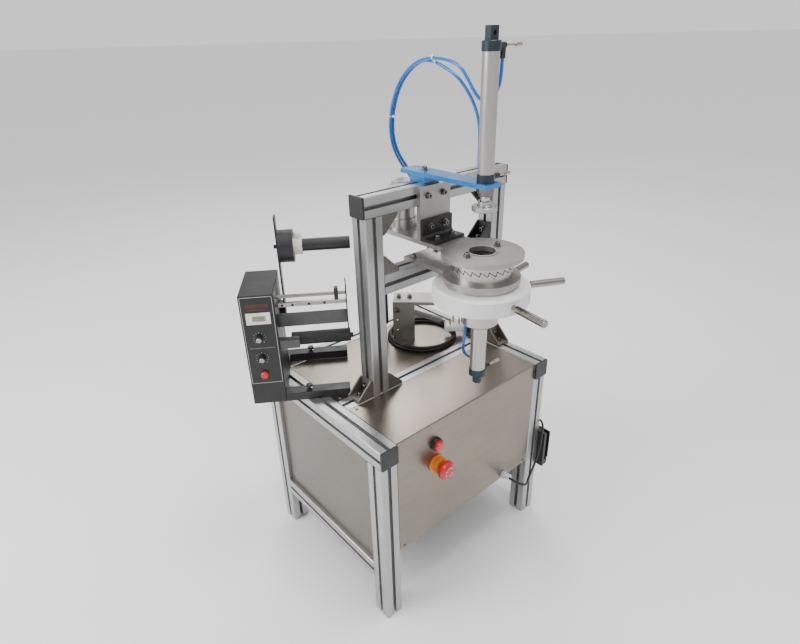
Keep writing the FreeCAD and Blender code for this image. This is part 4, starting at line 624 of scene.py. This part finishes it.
skin = face["skin"]
printOut, printBack = skin + face["proud"], skin - face["sunk"]
facePlate("faceBorder", "border", borderBars(), skin + 0.25)
facePlate("faceOverlay", "panelInk", overlaySheet(), skin)
facePlate("faceStrip", "redStrip", stripBars(), printOut, printBack, 0.0)
facePlate("faceStripLine", "redStrip", stripLine(), printOut, printBack, 0.0)
facePlate("faceRules", "border", ruleLine(), printOut, printBack, 0.0)


def buildWindow(work):
    x0, z0, x1, z1 = face["window"]
    sx0, sz0, sx1, sz1 = face["screen"]
    out = face["windowOut"]
    for low, high in (((x0, z0), (x1, sz0)), ((x0, sz1), (x1, z1)), ((x0, sz0), (sx0, sz1)),
                      ((sx1, sz0), (x1, sz1))):
        block(work, (low[0], -out, low[1]), (high[0], 0, high[1]), 0.25, 1)


window = meshPiece("counterFrame", buildWindow, "ivory", "root", dispenser)
facePlate("counterScreen", "screen", [face["screen"]], face["screenOut"])


# the counter's noughts, each of six bars
counter = {"count": 5, "left": 25.0, "low": 186.8, "wide": 2.9, "high": 7.0, "bar": 0.55, "gap": 1.1}


def buildDigits(work):
    z, wide, high, bar = counter["low"], counter["wide"], counter["high"], counter["bar"]
    for i in range(counter["count"]):
        left = counter["left"] + i*(wide + counter["gap"])
        bars = [
            (left, z + high - bar, left + wide, z + high), (left, z, left + wide, z + bar),
            (left + wide - bar, z + high/2, left + wide, z + high), (left + wide - bar, z,
                                                                     left + wide, z + high/2),
            (left, z + high/2, left + bar, z + high), (left, z, left + bar, z + high/2),
        ]
        for x0, z0, x1, z1 in bars:
            block(work, (x0, -1.3, z0), (x1, -1.15, z1))


digits = meshPiece("counterDigits", buildDigits, "digit", "root", dispenser)


# short marks on an arc round each knob
def buildDial(work):
    for up in face["dials"]:
        for i in range(face["dialMarks"]):
            a = math.radians(face["dialFrom"] + face["dialStep"]*i)
            turn = Matrix.Translation((face["dialAt"], 0, up)) @ Matrix.Rotation(a, 4, "Y")
            high = 12.6 if i % 5 else 13.4
            buildAt(work, turn, lambda: block(work, (-0.3, -printOut, 10.5), (0.3, -printBack, high)))


marks = meshPiece("dialMarks", buildDial, "border", "root", dispenser)


barScrew = {"along": (76, 96, 128, 158), "back": 36, "up": 197.5, "steps": 20,
            "head": [(0, 1.6), (2.0, 1.6), (2.5, 0.9), (2.5, 0), (0, 0)]}
outFront = Matrix.Rotation(math.radians(90), 4, "X")


def buildBarScrews(work):
    for along in barScrew["along"]:
        move = Matrix.Translation((along, barScrew["back"], barScrew["up"])) @ outFront
        buildAt(work, move, lambda: lathe(work, barScrew["head"], barScrew["steps"]))


barScrews = meshPiece("guideBarScrews", buildBarScrews, "blackPaint", "root", dispenser)


# the split lug that clamps the roll's collar, and its screw
clampLug = {
    "halves": [((109, 90, 314), (122, 95.4, 325)), ((109, 96.6, 314), (122, 102, 325))], "round": 1.0,
    "screwAt": (115.5, 90, 320), "screwHead": [(0, 2.6), (2.4, 2.6), (3.0, 2.0), (3.0, 0), (0, 0)], "steps": 24,
}


def buildLug(work):
    for low, high in clampLug["halves"]:
        block(work, low, high, clampLug["round"])
    move = Matrix.Translation(clampLug["screwAt"]) @ outFront
    buildAt(work, move, lambda: lathe(work, clampLug["screwHead"], clampLug["steps"]))


lug = meshPiece("collarLug", buildLug, "ivory", "label_roll", dispenser)
print("dispenser face ready")


# stop button: a ring of turn arrows pressed into the mushroom's face
stopArrows = {
    "place": (-103, -204, 341), "front": 37.3, "out": 0.12, "inner": 8.4, "outer": 10.6, "barb": 1.6,
    "count": 3, "first": 20, "sweep": 62, "tip": 20, "steps": 10, "thick": 0.25,
}


def buildArrows(work):
    out, steps = stopArrows["front"] + stopArrows["out"], stopArrows["steps"]
    inner, outer, barb = stopArrows["inner"], stopArrows["outer"], stopArrows["barb"]
    sweep = math.radians(stopArrows["sweep"])
    for i in range(stopArrows["count"]):
        start = math.radians(360/stopArrows["count"]*i + stopArrows["first"])
        low = []
        high = []
        for j in range(steps + 1):
            a = start + sweep*j/steps
            low.append(work.verts.new((inner*math.cos(a), inner*math.sin(a), out)))
            high.append(work.verts.new((outer*math.cos(a), outer*math.sin(a), out)))
        for j in range(steps):
            work.faces.new((low[j], high[j], high[j + 1], low[j + 1]))
        end = start + sweep
        tip = end + math.radians(stopArrows["tip"])
        corners = ((inner - barb, end), (outer + barb, end), ((inner + outer)/2, tip))
        work.faces.new([work.verts.new((r*math.cos(b), r*math.sin(b), out)) for r, b in corners])
    bmesh.ops.solidify(work, geom=list(work.faces), thickness=stopArrows["thick"])
    bmesh.ops.recalc_face_normals(work, faces=work.faces)


stopFrame = Matrix.Translation(mm(*stopArrows["place"])) @ outFront
arrows = meshPiece("stopArrows", buildArrows, "plugWhite", "stop_push", stopFrame)
print("stop button marked")


# floor and light
def makeStage():
    bpy.ops.mesh.primitive_plane_add(size=studio["floorSize"], location=(0, 0, 0))
    floor = bpy.context.object
    floor.name = "floor"
    paint = MaterialNodes("paleFloor")
    shaded = tuple(c*studio["floorMottle"] for c in studio["floor"])
    paint.join(paint.ramp(paint.noise(3), [(noiseLow, shaded), (noiseHigh, studio["floor"])]),
               paint.shader.inputs["Base Color"])
    paint.shader.inputs["Roughness"].default_value = studio["floorRough"]
    floor.data.materials.append(paint.material)
    world = bpy.data.worlds.new("studio")
    world.use_nodes = True
    tree = world.node_tree
    sky = tree.nodes["Background"]
    sky.inputs["Strength"].default_value = studio["sky"]
    way = tree.nodes.new("ShaderNodeTexCoord")
    parts = tree.nodes.new("ShaderNodeSeparateXYZ")
    ramp = tree.nodes.new("ShaderNodeValToRGB")
    points = ramp.color_ramp.elements
    while len(points) < len(studio["skyBands"]):
        points.new(0.5)
    for point, (at, light) in zip(points, studio["skyBands"]):
        point.position = at
        point.color = (light, light, light, 1)
    tree.links.new(way.outputs["Generated"], parts.inputs["Vector"])
    tree.links.new(parts.outputs["Z"], ramp.inputs["Fac"])
    tree.links.new(ramp.outputs["Color"], sky.inputs["Color"])
    bpy.context.scene.world = world
    for i, (place, size, power, aim) in enumerate(studio["lamps"]):
        data = bpy.data.lights.new(f"lamp{i + 1}", "AREA")
        data.size = size
        data.energy = power
        lamp = bpy.data.objects.new(f"lamp{i + 1}", data)
        lamp.location = place
        lamp.rotation_euler = (Vector(aim) - Vector(place)).to_track_quat("-Z", "Y").to_euler()
        bpy.context.scene.collection.objects.link(lamp)


makeStage()
print("studio ready")
